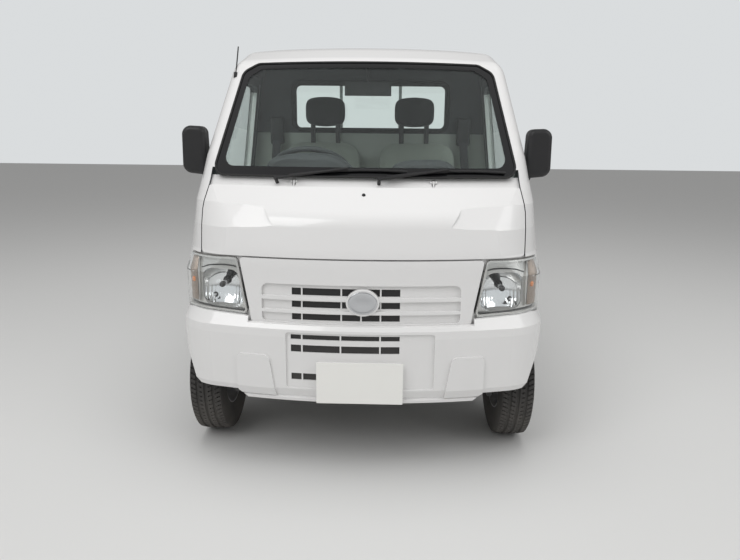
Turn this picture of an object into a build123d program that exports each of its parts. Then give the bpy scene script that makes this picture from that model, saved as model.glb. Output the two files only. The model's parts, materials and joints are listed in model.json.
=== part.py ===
from build123d import *
import os
from math import atan2, cos, pi, sin

os.makedirs("parts", exist_ok=True)

# Small two-seat truck with a cab over its front wheels and a drop-side bed.
# The truck stands on the ground at z = 0 and faces -Y. Lengths are given as
# stations: the distance behind the foremost point of the truck.

# Overall sizes
overall_length = 3395.0
body_width = 1475.0
overall_height = 1745.0
wheelbase = 2420.0
front_axle = 445.0
track = 1300.0

# Running gaps and fits
shut_gap = 6.0
glass_seat = 0.3
running_fit = 0.05
side_clear = 0.3

# Wheels and tyres
tyre_radius = 271.0
tyre_width = 145.0
bead_radius = 158.0
rim_width = 112.0
rim_wall = 5.0
hub_radius = 45.0
spindle_radius = 15.0
arch_radius = 322.0
housing_wall = 12.0

# Cab shell
cab_rear = 1372.0
cab_wall = 40.0
bow_centre = 2300.0
sill_bottom = 330.0
roof_seam = 1640.0
corner_radius = 70.0
skin = 18.0
lid_skin = 8.0
lens_wall = 5.0
pocket_depth = 12.0
floor_top = 500.0
floor_plate = 25.0
seat_deck = 700.0
seat_deck_front = 900.0
footwell_half = 410.0

# Side outline of the cab's front and roof: station, height, corner radius
cab_side = [
    (62.0, 300.0, 0.0),
    (48.0, 620.0, 500.0),
    (64.0, 857.0, 500.0),
    (100.0, 1005.0, 110.0),
    (255.0, 1128.0, 60.0),
    (700.0, 1648.0, 160.0),
    (930.0, 1736.0, 500.0),
    (bow_centre, 1762.0, 0.0),
]
# Front outline of the cab's flank: half width, height, corner radius
cab_flank = [
    (726.0, 300.0, 0.0),
    (728.0, 870.0, 400.0),
    (708.0, 1085.0, 300.0),
    (643.0, 1600.0, 300.0),
    (612.0, 1716.0, 70.0),
]

# Rounding of the cab's front corners in plan: height, radius
cab_corner = [
    (200.0, 170.0),
    (780.0, 175.0),
    (866.0, 305.0),
    (960.0, 300.0),
    (1050.0, 225.0),
    (1140.0, 150.0),
    (1330.0, 40.0),
]
corner_proud = 2.0
corner_reach = 160.0
overall_width = 1650.0

# Front openings, seen from the front: half width, height
hood_gap = 5.0
lid_top = 235.0
lid_axis = (300.0, 1128.0)
lid_arm_x = 280.0
lid_arm_width = 10.0
lid_eye = 8.0
lid_pin = 3.5
lid_half = [(637.0, 857.0), (645.0, 1020.0), (634.0, 1112.0)]
screen_half = [(634.0, 1150.0), (574.0, 1598.0), (505.0, 1636.0)]
lamp_half = [(438.0, 629.0), (480.0, 850.0), (760.0, 845.0), (760.0, 642.0)]
fascia_bottom = 606.3
fascia_top = 851.0
lamp_back = 262.0
lamp_pocket = [(632.0, 650.0), (632.0, 798.0), (478.0, 798.0), (452.0, 644.0)]
lamp_bowl = (548.0, 110.0, 722.0)
lamp_bowl_radius = 118.0

# Front bumper
bumper_bottom = 300.0
bumper_side_bottom = 330.0
bumper_end = 262.0
bumper_corner = 200.0
# Outline of the bumper in plan: height, station of its nose, half width
bumper_rows = [
    (bumper_bottom, 20.0, 730.0),
    (312.0, 18.0, 731.0),
    (317.0, 27.0, 727.0),
    (352.0, 12.0, 734.0),
    (560.0, 10.0, body_width / 2),
    (590.0, 13.0, body_width / 2),
    (648.0, 52.0, 718.0),
]
bumper_wall = 6.0
pad_proud = 9.0
recess_depth = 9.0

# Doors, seen from the side: station, height, corner radius
door_front = 462.0
door_bottom = 392.0
door_top = 1622.0
door_rear = 1284.0
belt = 1118.0
door_pivot = (718.0, 500.0)
door_pin = 5.0

# Rear window, seen from the front: half width, bottom, top
rear_window = (430.0, 1352.0, 1606.0)

# Load bed
bed_front = 1398.0
bed_plate = 16.0
bed_height = 655.0
gate_height = 285.0
gate_wall = 28.0
headboard_wall = 26.0
hinge_knuckle = 8.0
hinge_pin = 4.0
hinge_length = 34.0
bed_rear = overall_length - hinge_knuckle

# Frame and running gear
rail_half = 370.0
rail_width = 50.0
steer_tilt = (610.0, 190.0, 520.0, 600.0)
spring_half = 468.0


def station(distance):
    """The y of a point that lies this far behind the truck's foremost point."""
    return distance - overall_length / 2


def outline(plane, points, radii=()):
    """A face drawn on a plane through its points, with chosen corners rounded."""
    with BuildSketch(plane) as drawn:
        with BuildLine():
            Polyline(*points, close=True)
        make_face()
        for point, radius in zip(points, radii):
            if radius > 0:
                corner = drawn.vertices().sort_by_distance(point)[0]
                fillet(corner, radius)
    return drawn.sketch


def side_face(x, rows):
    """A face in side view at one x, from rows of station, height and radius."""
    points = [(station(row[0]), row[1]) for row in rows]
    return outline(Plane.YZ.offset(x), points, [row[2] for row in rows])


def front_face(distance, rows):
    """A face in front view at one station, from rows of x, height and radius."""
    plane = Plane.XZ.offset(-station(distance))
    return outline(plane, [(row[0], row[1]) for row in rows], [row[2] for row in rows])


def mirrored(rows):
    """Rows of half width, height and radius made a full outline."""
    return list(rows) + [(-row[0],) + tuple(row[1:]) for row in reversed(rows)]


def block(x0, x1, s0, s1, z0, z1, mode=Mode.ADD):
    """A box between two x, two stations and two heights."""
    centre = ((x0 + x1) / 2, station((s0 + s1) / 2), (z0 + z1) / 2)
    with Locations(centre):
        Box(abs(x1 - x0), s1 - s0, z1 - z0, mode=mode)


def rod(start, end, radius, mode=Mode.ADD):
    """A round bar between two points of the truck's frame."""
    along = Vector(*end) - Vector(*start)
    plane = Plane(origin=start, z_dir=along.normalized())
    with BuildSketch(plane) as section:
        Circle(radius)
    extrude(section.sketch, amount=along.length, mode=mode)


def save(part, name):
    """Write one finished piece under its own name."""
    part.label = name
    export_step(part, f"parts/{name}.step")


def at_height(rows, height):
    """The first column of an outline's rows at a height, on the straight line between them."""
    for low, high in zip(rows, rows[1:]):
        if height <= high[1]:
            break
    share = (height - low[1]) / (high[1] - low[1])
    return low[0] + share * (high[0] - low[0])


def corner_cut(inset):
    """What lies outside the cab's front corners, for a form drawn in by the inset.

    At each height an arc touches the bowed front and the flank from outside.
    """
    with BuildPart() as cut:
        for height, radius in cab_corner:
            bow = bow_centre - at_height(cab_side, height) + corner_proud
            x = at_height(cab_flank, height) + corner_proud - radius
            y = station(bow_centre) - ((bow - radius) ** 2 - x**2) ** 0.5
            lean = atan2(x, bow - radius)
            reach = max(radius - inset, corner_proud)
            angles = (lean, (lean + pi / 2) / 2, pi / 2)
            front, middle, rear = [(x + reach * sin(angle), y - reach * cos(angle)) for angle in angles]
            inward = (front[0] - corner_reach * cos(lean), front[1] - corner_reach * sin(lean))
            ahead = inward[1] - corner_reach
            behind = rear[1] + corner_reach
            with BuildSketch(Plane.XY.offset(height)):
                with BuildLine():
                    ThreePointArc(front, middle, rear)
                    Polyline(rear, (rear[0], behind), (overall_width, behind), (overall_width, ahead),
                             (inward[0], ahead), inward, front)
                make_face()
        loft(ruled=True)
        mirror(about=Plane.YZ)
    return cut.part


def cab_form(front_inset, side_inset, corner):
    """The cab's closed outer form, drawn in by the insets.

    Its front is turned about an upright axis far behind, which bows it in plan,
    and its flanks are cut by the front outline.
    """
    with BuildPart() as form:
        rows = cab_side
        points = [(station(row[0]), row[1]) for row in rows]
        with BuildSketch(Plane.YZ) as side:
            with BuildLine():
                Polyline(*points, (station(bow_centre), rows[0][1]), close=True)
            make_face()
            for point, row in zip(points, rows):
                if row[2] > 0:
                    fillet(side.vertices().sort_by_distance(point)[0], row[2])
            if front_inset:
                offset(amount=-front_inset, kind=Kind.INTERSECTION, mode=Mode.REPLACE)
        revolve(axis=Axis((0, station(bow_centre), 0), (0, 0, 1)))
        back = station(cab_rear - max(side_inset, 0))
        with BuildSketch(Plane.XZ.offset(-back)) as front:
            right = [(row[0], row[1]) for row in cab_flank]
            left = [(-x, z) for x, z in reversed(right)]
            with BuildLine():
                Polyline(*right)
                ThreePointArc(right[-1], (0, overall_height), left[0])
                Polyline(*left)
                Line(left[-1], right[0])
            make_face()
            for row in cab_flank:
                for x in (row[0], -row[0]):
                    if row[2] > 0:
                        fillet(front.vertices().sort_by_distance((x, row[1]))[0], row[2])
            if side_inset:
                offset(amount=-side_inset, kind=Kind.INTERSECTION, mode=Mode.REPLACE)
        extrude(amount=cab_rear, mode=Mode.INTERSECT)
        if corner > 0:
            near = form.edges().filter_by(
                lambda edge: edge.bounding_box().max.Y < station(cab_rear - 60)
                and edge.bounding_box().min.X * edge.bounding_box().max.X > 0
                and min(abs(edge.bounding_box().min.X), abs(edge.bounding_box().max.X)) > 480
                and edge.geom_type in (GeomType.HYPERBOLA, GeomType.BSPLINE)
            )
            fillet(near, corner)
        add(corner_cut(side_inset), mode=Mode.SUBTRACT)
    return form.part


cab_outer = cab_form(0, 0, corner_radius)
cab_inner = cab_form(cab_wall, cab_wall, 0)
under_skin = cab_form(skin + side_clear, skin + side_clear, corner_radius - skin - side_clear)
under_lid = cab_form(lid_skin, lid_skin, corner_radius - lid_skin)
under_lens = cab_form(lens_wall, lens_wall, corner_radius - lens_wall)
under_pocket = cab_form(pocket_depth, pocket_depth, 0)
fascia_inner = cab_form(skin, skin, 0)
pane_inner = cab_form(skin + 6, skin + 6, 0)
half_body = body_width / 2
axle_station = {"front": front_axle, "rear": front_axle + wheelbase}

# Openings in the cab, kept as rows so that panel and pane match.
# Columns: station or x, height, corner radius
door_rows = [
    (door_front, 622.0, 30.0),
    (door_front + 96.0, 590.0, 60.0),
    (door_front + 246.0, 470.0, 60.0),
    (door_front + 296.0, door_bottom, 20.0),
    (door_rear, door_bottom, 50.0),
    (door_rear, door_top, 60.0),
    (door_front + 400.0, door_top, 60.0),
    (door_front + 24.0, 1168.0, 30.0),
    (door_front, 1140.0, 20.0),
]
window_rows = [
    (door_front + 72.0, belt + 22.0, 30.0),
    (door_rear - 62.0, belt, 40.0),
    (door_rear - 62.0, door_top - 52.0, 50.0),
    (door_front + 408.0, door_top - 52.0, 50.0),
]
screen_rows = mirrored([(x, z, 45.0) for x, z in screen_half])
lamp_rows = [(x, z, 18.0) for x, z in lamp_half]
lid_rows = mirrored([(x, z, 12.0) for x, z in lid_half] + [(lid_half[-1][0] - 8, lid_half[-1][1] + 60, 0.0)])
cowl_half = [(x + hood_gap, z, 0.0) for x, z in lid_half]
cowl_half = [(cowl_half[0][0], sill_bottom - 10, 0.0)] + cowl_half + [(cowl_half[-1][0], screen_half[0][1] + 30, 0.0)]


def shrunk(face, amount):
    """The same outline drawn in all round by an amount."""
    plane = Plane(face.faces()[0])
    with BuildSketch(plane) as small:
        add(plane.to_local_coords(face))
        offset(amount=-amount, kind=Kind.INTERSECTION, mode=Mode.REPLACE)
    return small.sketch


# Roof
with BuildPart() as roof:
    add(cab_outer)
    block(-800, 800, 0, 1500, 0, roof_seam, mode=Mode.SUBTRACT)
    add(cab_inner, mode=Mode.SUBTRACT)
save(roof.part, "roof")

# Rear wall of the cab with its window and pressed beads
with BuildPart() as cab_back:
    add(cab_outer)
    block(-800, 800, cab_rear - cab_wall, cab_rear, floor_top - floor_plate, roof_seam, mode=Mode.INTERSECT)
    half, low, high = rear_window
    rows = mirrored([(half, low, 40.0), (half, high, 40.0)])
    extrude(front_face(cab_rear + 10, rows), amount=cab_wall + 20, mode=Mode.SUBTRACT)
    for height in (1010.0, 1090.0, 1170.0, 1250.0):
        bead = mirrored([(500.0, height - 14, 13.0), (500.0, height + 14, 13.0)])
        extrude(front_face(cab_rear - cab_wall + 5, bead), amount=10, mode=Mode.SUBTRACT)
save(cab_back.part, "cab_back")

with BuildPart() as rear_glass:
    half, low, high = rear_window
    rows = mirrored([(half - glass_seat, low + glass_seat, 40.0), (half - glass_seat, high - glass_seat, 40.0)])
    extrude(front_face(cab_rear - 15, rows), amount=5)
save(rear_glass.part, "rear_window")

# Side frames: corner panel, windscreen pillar, sill, rear pillar and roof rail
with BuildPart() as side_left:
    add(cab_outer)
    block(0, 800, 0, cab_rear - cab_wall, sill_bottom, roof_seam, mode=Mode.INTERSECT)
    add(cab_inner, mode=Mode.SUBTRACT)
    block(0, 686, 0, cab_rear, 0, sill_bottom + 20, mode=Mode.SUBTRACT)
    extrude(side_face(300, door_rows), amount=500, mode=Mode.SUBTRACT)
    extrude(front_face(1100, screen_rows), amount=1200, mode=Mode.SUBTRACT)
    extrude(front_face(1100, mirrored(cowl_half)), amount=1200, mode=Mode.SUBTRACT)
    block(0, 800, 0, lamp_back + 3, 0, fascia_top + 2, mode=Mode.SUBTRACT)
    rod((300, station(front_axle), tyre_radius), (900, station(front_axle), tyre_radius), arch_radius,
        mode=Mode.SUBTRACT)
    block(half_body - 38, half_body - 26, door_rear - shut_gap + 0.9, door_rear + 4, 900, 936)
    pivot_x, pivot_y = door_pivot[0], station(door_pivot[1])
    rod((pivot_x, pivot_y, 593), (pivot_x, pivot_y, 680), door_pin)
save(side_left.part, "side_frame_left")
with BuildPart() as side_right:
    add(side_left.part)
    mirror(about=Plane.YZ, mode=Mode.REPLACE)
save(side_right.part, "side_frame_right")


def lid_hinge(side, width, radius, mode=Mode.ADD):
    """A round boss or bore on the front lid's hinge line, at one of its two arms."""
    y, z = station(lid_axis[0]), lid_axis[1]
    near, far = side * (lid_arm_x - width / 2), side * (lid_arm_x + width / 2)
    rod((near, y, z), (far, y, z), radius, mode=mode)


# Front bulkhead behind the lid, lamps and bumper
with BuildPart() as cab_front:
    add(under_skin)
    block(-800, 800, 0, 460, sill_bottom, screen_half[0][1] - 2, mode=Mode.INTERSECT)
    add(cab_inner, mode=Mode.SUBTRACT)
    block(-686, 686, 0, 500, 0, sill_bottom + 20, mode=Mode.SUBTRACT)
    for side in (1, -1):
        block(side * 500, side * 800, lamp_back + 3, 500, 0, fascia_top + 2, mode=Mode.SUBTRACT)
    with BuildPart(mode=Mode.PRIVATE) as zone:
        extrude(front_face(500, mirrored(cowl_half)), amount=600)
        block(-800, 800, 0, 500, sill_bottom, fascia_top + 2)
    add(zone.part, mode=Mode.INTERSECT)
    extrude(front_face(400, mirrored([(520.0, 900.0, 40.0), (520.0, 1060.0, 40.0)])), amount=400, mode=Mode.SUBTRACT)
    extrude(front_face(400, mirrored([(300.0, 370.0, 20.0), (300.0, 590.0, 20.0)])), amount=400, mode=Mode.SUBTRACT)
    extrude(front_face(400, mirrored([(392.0, 606.0, 20.0), (392.0, 768.0, 20.0)])), amount=400, mode=Mode.SUBTRACT)
    extrude(front_face(400, lamp_rows), amount=400, mode=Mode.SUBTRACT)
    extrude(front_face(400, [(-x, z, r) for x, z, r in reversed(lamp_rows)]), amount=400, mode=Mode.SUBTRACT)
    for side in (1, -1):
        rod((side * 300, station(front_axle), tyre_radius), (side * 900, station(front_axle), tyre_radius),
            arch_radius, mode=Mode.SUBTRACT)
    for side in (1, -1):
        lid_hinge(side, lid_arm_width + 18, lid_eye)
        lid_hinge(side, lid_arm_width + 4, lid_eye + 10, mode=Mode.SUBTRACT)
        lid_hinge(side, lid_arm_width + 18, lid_pin)
save(cab_front.part, "cab_front")

# Windscreen
with BuildPart() as windscreen:
    add(under_lens)
    block(-800, 800, 0, 1100, 1100, roof_seam + 20, mode=Mode.INTERSECT)
    add(under_pocket, mode=Mode.SUBTRACT)
    extrude(shrunk(front_face(1100, screen_rows), glass_seat), amount=1200, mode=Mode.INTERSECT)
save(windscreen.part, "windscreen")

# Front lid over the service hatch
with BuildPart() as front_lid:
    add(cab_outer)
    block(-800, 800, 0, 500, 800, 1200, mode=Mode.INTERSECT)
    add(under_lid, mode=Mode.SUBTRACT)
    extrude(front_face(600, lid_rows), amount=700, mode=Mode.INTERSECT)
    rod((0, station(bow_centre), 1000), (0, station(bow_centre), 1300), bow_centre - lid_top, mode=Mode.SUBTRACT)
    for side in (1, -1):
        x = side * lid_arm_x
        lid_hinge(side, lid_arm_width, lid_eye)
        rod((x, station(lid_axis[0] - 54), lid_axis[1] - 31), (x, station(lid_axis[0]), lid_axis[1]), 3.8)
        lid_hinge(side, lid_arm_width + 2, lid_pin + side_clear, mode=Mode.SUBTRACT)
save(front_lid.part, "front_lid")

# Headlamps
with BuildPart() as lenses:
    add(cab_outer)
    block(-800, 800, 0, lamp_back, 500, 900, mode=Mode.INTERSECT)
    add(under_lens, mode=Mode.SUBTRACT)
    lamp = shrunk(front_face(400, lamp_rows), glass_seat)
    extrude(lamp, amount=500, mode=Mode.INTERSECT)
    mirror(about=Plane.YZ)
save(lenses.part, "headlamp_lenses")

# Lamp housings: a shallow tray behind each lens with a reflector sunk in a rounded square
with BuildPart() as lamp_bodies:
    add(under_lens)
    block(-800, 800, 0, lamp_back, 500, 900, mode=Mode.INTERSECT)
    lamp = shrunk(front_face(400, lamp_rows), glass_seat)
    extrude(lamp, amount=500, mode=Mode.INTERSECT)
    with BuildPart(mode=Mode.PRIVATE) as hollow:
        add(under_lens)
        add(under_skin, mode=Mode.SUBTRACT)
        extrude(shrunk(front_face(400, lamp_rows), 9.0), amount=500, mode=Mode.INTERSECT)
    add(hollow.part, mode=Mode.SUBTRACT)
    with BuildPart(mode=Mode.PRIVATE) as reflector:
        x, distance, z = lamp_bowl
        with Locations((x, station(distance), z)):
            Sphere(lamp_bowl_radius)
        extrude(front_face(lamp_back, [(x, z, 44.0) for x, z in lamp_pocket]), amount=500, mode=Mode.INTERSECT)
    add(reflector.part, mode=Mode.SUBTRACT)
    mirror(about=Plane.YZ)
save(lamp_bodies.part, "headlamp_bodies")

# Front fascia between the lamps: one wide recess with two blades and a plain oval boss
grille_half = 382.0
grille_low, grille_high = 609.0, 757.0
slot_open = (-265.0, 150.0)
rib_width = 6.0
# Openings in the recess's floor and the blades before it: bottom, top
upper_slots = [(617.0, 642.0), (666.0, 691.0), (714.0, 742.0)]
upper_blades = [(646.0, 658.0), (696.0, 710.0)]
# Upright ribs across the openings: x of each centre
slot_ribs = [-226.0, -74.0, 2.0, 76.0]
oval = (8.0, 693.0, 64.0, 52.0)
oval_front, oval_rear = 46.0, 66.0
fascia_rows = mirrored([(426.0, fascia_bottom, 6.0), (430.0, 640.0, 20.0), (471.0, fascia_top, 12.0)])
with BuildPart() as fascia:
    add(cab_outer)
    block(-800, 800, 0, 300, 560, 900, mode=Mode.INTERSECT)
    add(fascia_inner, mode=Mode.SUBTRACT)
    extrude(front_face(400, fascia_rows), amount=500, mode=Mode.INTERSECT)
    with BuildPart(mode=Mode.PRIVATE) as pocket:
        rows = mirrored([(grille_half, grille_low, 20.0), (grille_half, grille_high, 24.0)])
        extrude(front_face(120, rows), amount=200)
        for low, high in upper_blades:
            block(-grille_half, grille_half, 0, 200, low, high, mode=Mode.SUBTRACT)
        add(under_pocket, mode=Mode.SUBTRACT)
    add(pocket.part, mode=Mode.SUBTRACT)
    with BuildPart(mode=Mode.PRIVATE) as slots:
        for low, high in upper_slots:
            block(slot_open[0], slot_open[1], 0, 140, low, high)
        for x in slot_ribs:
            block(x - rib_width / 2, x + rib_width / 2, 0, 140, 600, 800, mode=Mode.SUBTRACT)
    add(slots.part, mode=Mode.SUBTRACT)
    x, z, half_x, half_z = oval
    with BuildSketch(Plane.XZ.offset(-station(oval_rear))):
        with Locations((x, z)):
            Ellipse(half_x, half_z)
    extrude(amount=oval_rear - oval_front)
    fillet(fascia.faces().sort_by(Axis.Y)[0].edges(), 3)
save(fascia.part, "front_fascia")


def bumper_form(proud):
    """The bumper's closed form, grown by an amount: bowed nose, round corners, straight flanks."""
    with BuildPart() as form:
        for height, nose, width in bumper_rows:
            bow = bow_centre - nose + proud
            width = width + proud
            side_nose = bow_centre - (bow**2 - width**2) ** 0.5
            with BuildSketch(Plane.XY.offset(height)) as plan:
                with BuildLine():
                    ThreePointArc((-width, station(side_nose)), (0, station(nose - proud)), (width, station(side_nose)))
                    Polyline((width, station(side_nose)), (width, station(500)), (-width, station(500)),
                             (-width, station(side_nose)))
                make_face()
                for x in (width, -width):
                    fillet(plan.vertices().sort_by_distance((x, station(side_nose)))[0], bumper_corner)
        loft(ruled=True)
    return form.part


def bow_slab(front, rear, half, low, high, mode=Mode.ADD):
    """A slab bowed like the truck's nose, between two depths, two sides and two heights."""
    with BuildPart(mode=Mode.PRIVATE) as slab:
        rows = [(front, low), (front, high), (rear, high), (rear, low)]
        with BuildSketch(Plane.YZ):
            with BuildLine():
                Polyline(*[(station(distance), z) for distance, z in rows], close=True)
            make_face()
        revolve(axis=Axis((0, station(bow_centre), 0), (0, 0, 1)))
        block(-half, half, front - 10, rear + 60, low, high, mode=Mode.INTERSECT)
    add(slab.part, mode=mode)


# Bumper: a bowed bar with round ends, wrapped back to the wheel arches
intake_half = 284.0
intake_low, intake_high = 357.0, 580.0
lower_slots = [(388.0, 415.0), (501.0, 530.0), (552.0, 571.0)]
lower_ribs = [-222.0, -74.0, 76.0]
intake_nose = bumper_rows[4][1] + recess_depth
intake_back = intake_nose + bumper_wall
step_half = (442.0, 480.0)
pad_rows = [
    (480.0, bumper_side_bottom - 2, 0.0),
    (480.0, 487.0, 20.0),
    (352.0, 487.0, 24.0),
    (326.0, bumper_bottom + 18, 0.0),
    (464.0, bumper_bottom + 18, 0.0),
]
plate_width, plate_height, plate_base, plate_wall = 330.0, 165.0, 306.0, 2.0
with BuildPart() as bumper:
    add(bumper_form(0))
    with BuildPart(mode=Mode.PRIVATE) as recess:
        rows = mirrored([(intake_half, intake_low, 12.0), (intake_half, intake_high, 12.0)])
        extrude(front_face(80, rows), amount=150)
        bow_slab(intake_nose, 200, intake_half + 10, 300, 640, mode=Mode.SUBTRACT)
    add(recess.part, mode=Mode.SUBTRACT)
    bow_slab(intake_back, 120, intake_half + 10, intake_low - 8, intake_high + 8, mode=Mode.SUBTRACT)
    with BuildPart(mode=Mode.PRIVATE) as slots:
        for low, high in lower_slots:
            block(slot_open[0], slot_open[1], 0, 80, low, high)
        for x in lower_ribs:
            block(x - rib_width / 2, x + rib_width / 2, 0, 80, intake_low, intake_high, mode=Mode.SUBTRACT)
    add(slots.part, mode=Mode.SUBTRACT)
    block(-plate_width / 2 + 6, plate_width / 2 - 6, plate_wall + side_clear, intake_back - 1, plate_base + 6,
          plate_base + plate_height - 6)
    with BuildPart(mode=Mode.PRIVATE) as pads:
        add(bumper_form(pad_proud))
        extrude(front_face(200, pad_rows), amount=300, mode=Mode.INTERSECT)
        block(0, 800, 66, 600, 0, 800, mode=Mode.SUBTRACT)
        mirror(about=Plane.YZ)
    add(pads.part)
    add(cab_outer, mode=Mode.SUBTRACT)
    block(-800, 800, bumper_end, 2400, 0, 900, mode=Mode.SUBTRACT)
    for side in (1, -1):
        rows = [(step_half[0], 0.0), (step_half[0], bumper_bottom), (step_half[1], bumper_side_bottom)]
        rows = [(side * x, z, 0.0) for x, z in rows + [(800.0, bumper_side_bottom), (800.0, 0.0)]]
        extrude(front_face(400, rows), amount=500, mode=Mode.SUBTRACT)
        (inner_x, inner_z), (outer_x, outer_z) = lamp_half[0], lamp_half[-1]
        rows = [(inner_x - 3, inner_z - 2), (inner_x - 3, 700.0), (outer_x, 700.0), (outer_x, outer_z - 2)]
        extrude(front_face(400, [(side * x, z, 0.0) for x, z in rows]), amount=500, mode=Mode.SUBTRACT)
        rod((side * 300, station(front_axle), tyre_radius), (side * 900, station(front_axle), tyre_radius),
            arch_radius, mode=Mode.SUBTRACT)
    block(-lamp_half[0][0] + 2, lamp_half[0][0] - 2, 0, 300, fascia_bottom - side_clear, 700, mode=Mode.SUBTRACT)
save(bumper.part, "front_bumper")

# Dark backing behind the slots
with BuildPart() as backing:
    add(under_skin)
    block(-800, 800, 0, 200, 360, 780, mode=Mode.INTERSECT)
    add(cab_inner, mode=Mode.SUBTRACT)
    with BuildPart(mode=Mode.PRIVATE) as windows:
        extrude(front_face(400, mirrored([(300.0, 370.0, 20.0), (300.0, 590.0, 20.0)])), amount=400)
        extrude(front_face(400, mirrored([(392.0, 606.0, 20.0), (392.0, 768.0, 20.0)])), amount=400)
    add(windows.part, mode=Mode.INTERSECT)
    with BuildPart(mode=Mode.PRIVATE) as filler:
        bow_slab(intake_back + side_clear, 120, intake_half + 9.7, intake_low - 7.7, intake_high + 7.7)
        add(cab_outer, mode=Mode.SUBTRACT)
    add(filler.part)
save(backing.part, "grille_backing")

# Number plates, blank
with BuildPart() as plates:
    block(-plate_width / 2, plate_width / 2, 0, plate_wall, plate_base, plate_base + plate_height)
    rear_plate_base = 430.0
    rear_plate = bed_rear - 16 + side_clear
    block(-plate_width / 2, plate_width / 2, rear_plate, rear_plate + plate_wall, rear_plate_base, rear_plate_base + plate_height)
save(plates.part, "plates")

# Doors with their panes and mirrors
handle_x = 716.0
handle_cup = [(1112.0, 972.0, 20.0), (1222.0, 972.0, 20.0), (1222.0, 1028.0, 20.0), (1112.0, 1028.0, 20.0)]
handle_bar = [(1100.0, 990.0, 8.0), (1234.0, 990.0, 8.0), (1234.0, 1010.0, 8.0), (1100.0, 1010.0, 8.0)]
with BuildPart() as door_left:
    add(cab_outer)
    block(0, 800, door_front - 20, door_rear + 20, door_bottom - 20, door_top + 20, mode=Mode.INTERSECT)
    add(cab_inner, mode=Mode.SUBTRACT)
    extrude(shrunk(side_face(300, door_rows), shut_gap), amount=500, mode=Mode.INTERSECT)
    extrude(side_face(300, window_rows), amount=500, mode=Mode.SUBTRACT)
    rod((pivot_x, pivot_y, 590), (pivot_x, pivot_y, 685), door_pin + running_fit, mode=Mode.SUBTRACT)
    extrude(side_face(handle_x - 10, handle_cup), amount=100, mode=Mode.SUBTRACT)
    extrude(side_face(handle_x - 12, handle_bar), amount=14)
save(door_left.part, "door_left")
with BuildPart() as door_right:
    add(door_left.part)
    mirror(about=Plane.YZ, mode=Mode.REPLACE)
save(door_right.part, "door_right")
with BuildPart() as pane_left:
    add(under_skin)
    block(0, 800, door_front - 20, door_rear + 20, belt - 20, door_top, mode=Mode.INTERSECT)
    add(pane_inner, mode=Mode.SUBTRACT)
    extrude(shrunk(side_face(300, window_rows), glass_seat), amount=500, mode=Mode.INTERSECT)
save(pane_left.part, "door_glass_left")
with BuildPart() as pane_right:
    add(pane_left.part)
    mirror(about=Plane.YZ, mode=Mode.REPLACE)
save(pane_right.part, "door_glass_right")

# Door mirrors: a rounded shell on a short arm
mirror_half = (700.0, 812.0)
mirror_station, mirror_depth = 600.0, 66.0
mirror_low, mirror_high = 1137.0, 1352.0
door_arm_x = 700.0
with BuildPart() as mirror_left:
    x0, x1 = mirror_half
    rows = [(x0, mirror_low, 26.0), (x1, mirror_low + 12, 40.0), (x1 - 4, mirror_high, 40.0), (x0 + 6, mirror_high - 4, 30.0)]
    extrude(front_face(mirror_station, rows), amount=mirror_depth)
    fillet(mirror_left.faces().sort_by(Axis.Y)[0].edges(), 20)
    rows = [(x0 + 9, mirror_low + 9, 18.0), (x1 - 9, mirror_low + 20, 32.0), (x1 - 13, mirror_high - 9, 32.0), (x0 + 15, mirror_high - 13, 22.0)]
    extrude(front_face(mirror_station, rows), amount=6, mode=Mode.SUBTRACT)
    rod((door_arm_x, station(560.0), 1100.0), (x0 + 30, station(575.0), mirror_low + 20), 11)
    add(cab_outer, mode=Mode.SUBTRACT)
save(mirror_left.part, "mirror_left")
with BuildPart() as mirror_right:
    add(mirror_left.part)
    mirror(about=Plane.YZ, mode=Mode.REPLACE)
save(mirror_right.part, "mirror_right")

# Cab floor: footwell, wheel housings, riser and seat deck
with BuildPart() as cab_floor:
    block(-720, 720, 110, seat_deck_front, floor_top - floor_plate, floor_top)
    block(-720, 720, seat_deck_front - floor_plate, seat_deck_front, floor_top, seat_deck)
    block(-720, 720, seat_deck_front, cab_rear - cab_wall, seat_deck - floor_plate, seat_deck)
    for side in (1, -1):
        rod((side * (footwell_half - housing_wall), station(front_axle), tyre_radius),
            (side * 720, station(front_axle), tyre_radius), arch_radius + housing_wall + 6)
    block(-720, 720, 0, seat_deck_front, 0, floor_top - floor_plate, mode=Mode.SUBTRACT)
    add(cab_inner, mode=Mode.INTERSECT)
    for side in (1, -1):
        rod((side * footwell_half, station(front_axle), tyre_radius), (side * 760, station(front_axle), tyre_radius),
            arch_radius + 6, mode=Mode.SUBTRACT)
save(cab_floor.part, "cab_floor")

# Dashboard: one moulded section, with a hump in front of each seat
dash_rows = [
    (330.0, 880.0, 0.0),
    (318.0, 1098.0, 20.0),
    (560.0, 1088.0, 40.0),
    (640.0, 1020.0, 40.0),
    (600.0, 880.0, 50.0),
]
seat_x = 262.0
with BuildPart() as dashboard:
    extrude(side_face(-640, dash_rows), amount=1280)
    hump = [(seat_x - 170, 1060.0, 0.0), (seat_x - 130, 1142.0, 50.0), (seat_x + 130, 1142.0, 50.0), (seat_x + 170, 1060.0, 0.0)]
    extrude(front_face(610, [(-x, z, r) for x, z, r in reversed(hump)]), amount=180)
    low_hump = [(seat_x - 190, 1060.0, 0.0), (seat_x - 150, 1120.0, 40.0), (seat_x + 120, 1120.0, 40.0), (seat_x + 160, 1060.0, 0.0)]
    extrude(front_face(590, low_hump), amount=180)
    add(cab_inner, mode=Mode.INTERSECT)
save(dashboard.part, "dashboard")

# Steering column and wheel on one tilted axis
column_top = (-seat_x, station(742.0), 1146.0)
column_lean = (0.0, 0.6, 0.8)
wheel_ring, wheel_grip = 178.0, 13.0


def along_column(distance):
    """A point on the column's axis, this far from the wheel's centre."""
    return tuple(c + a * distance for c, a in zip(column_top, column_lean))


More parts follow.
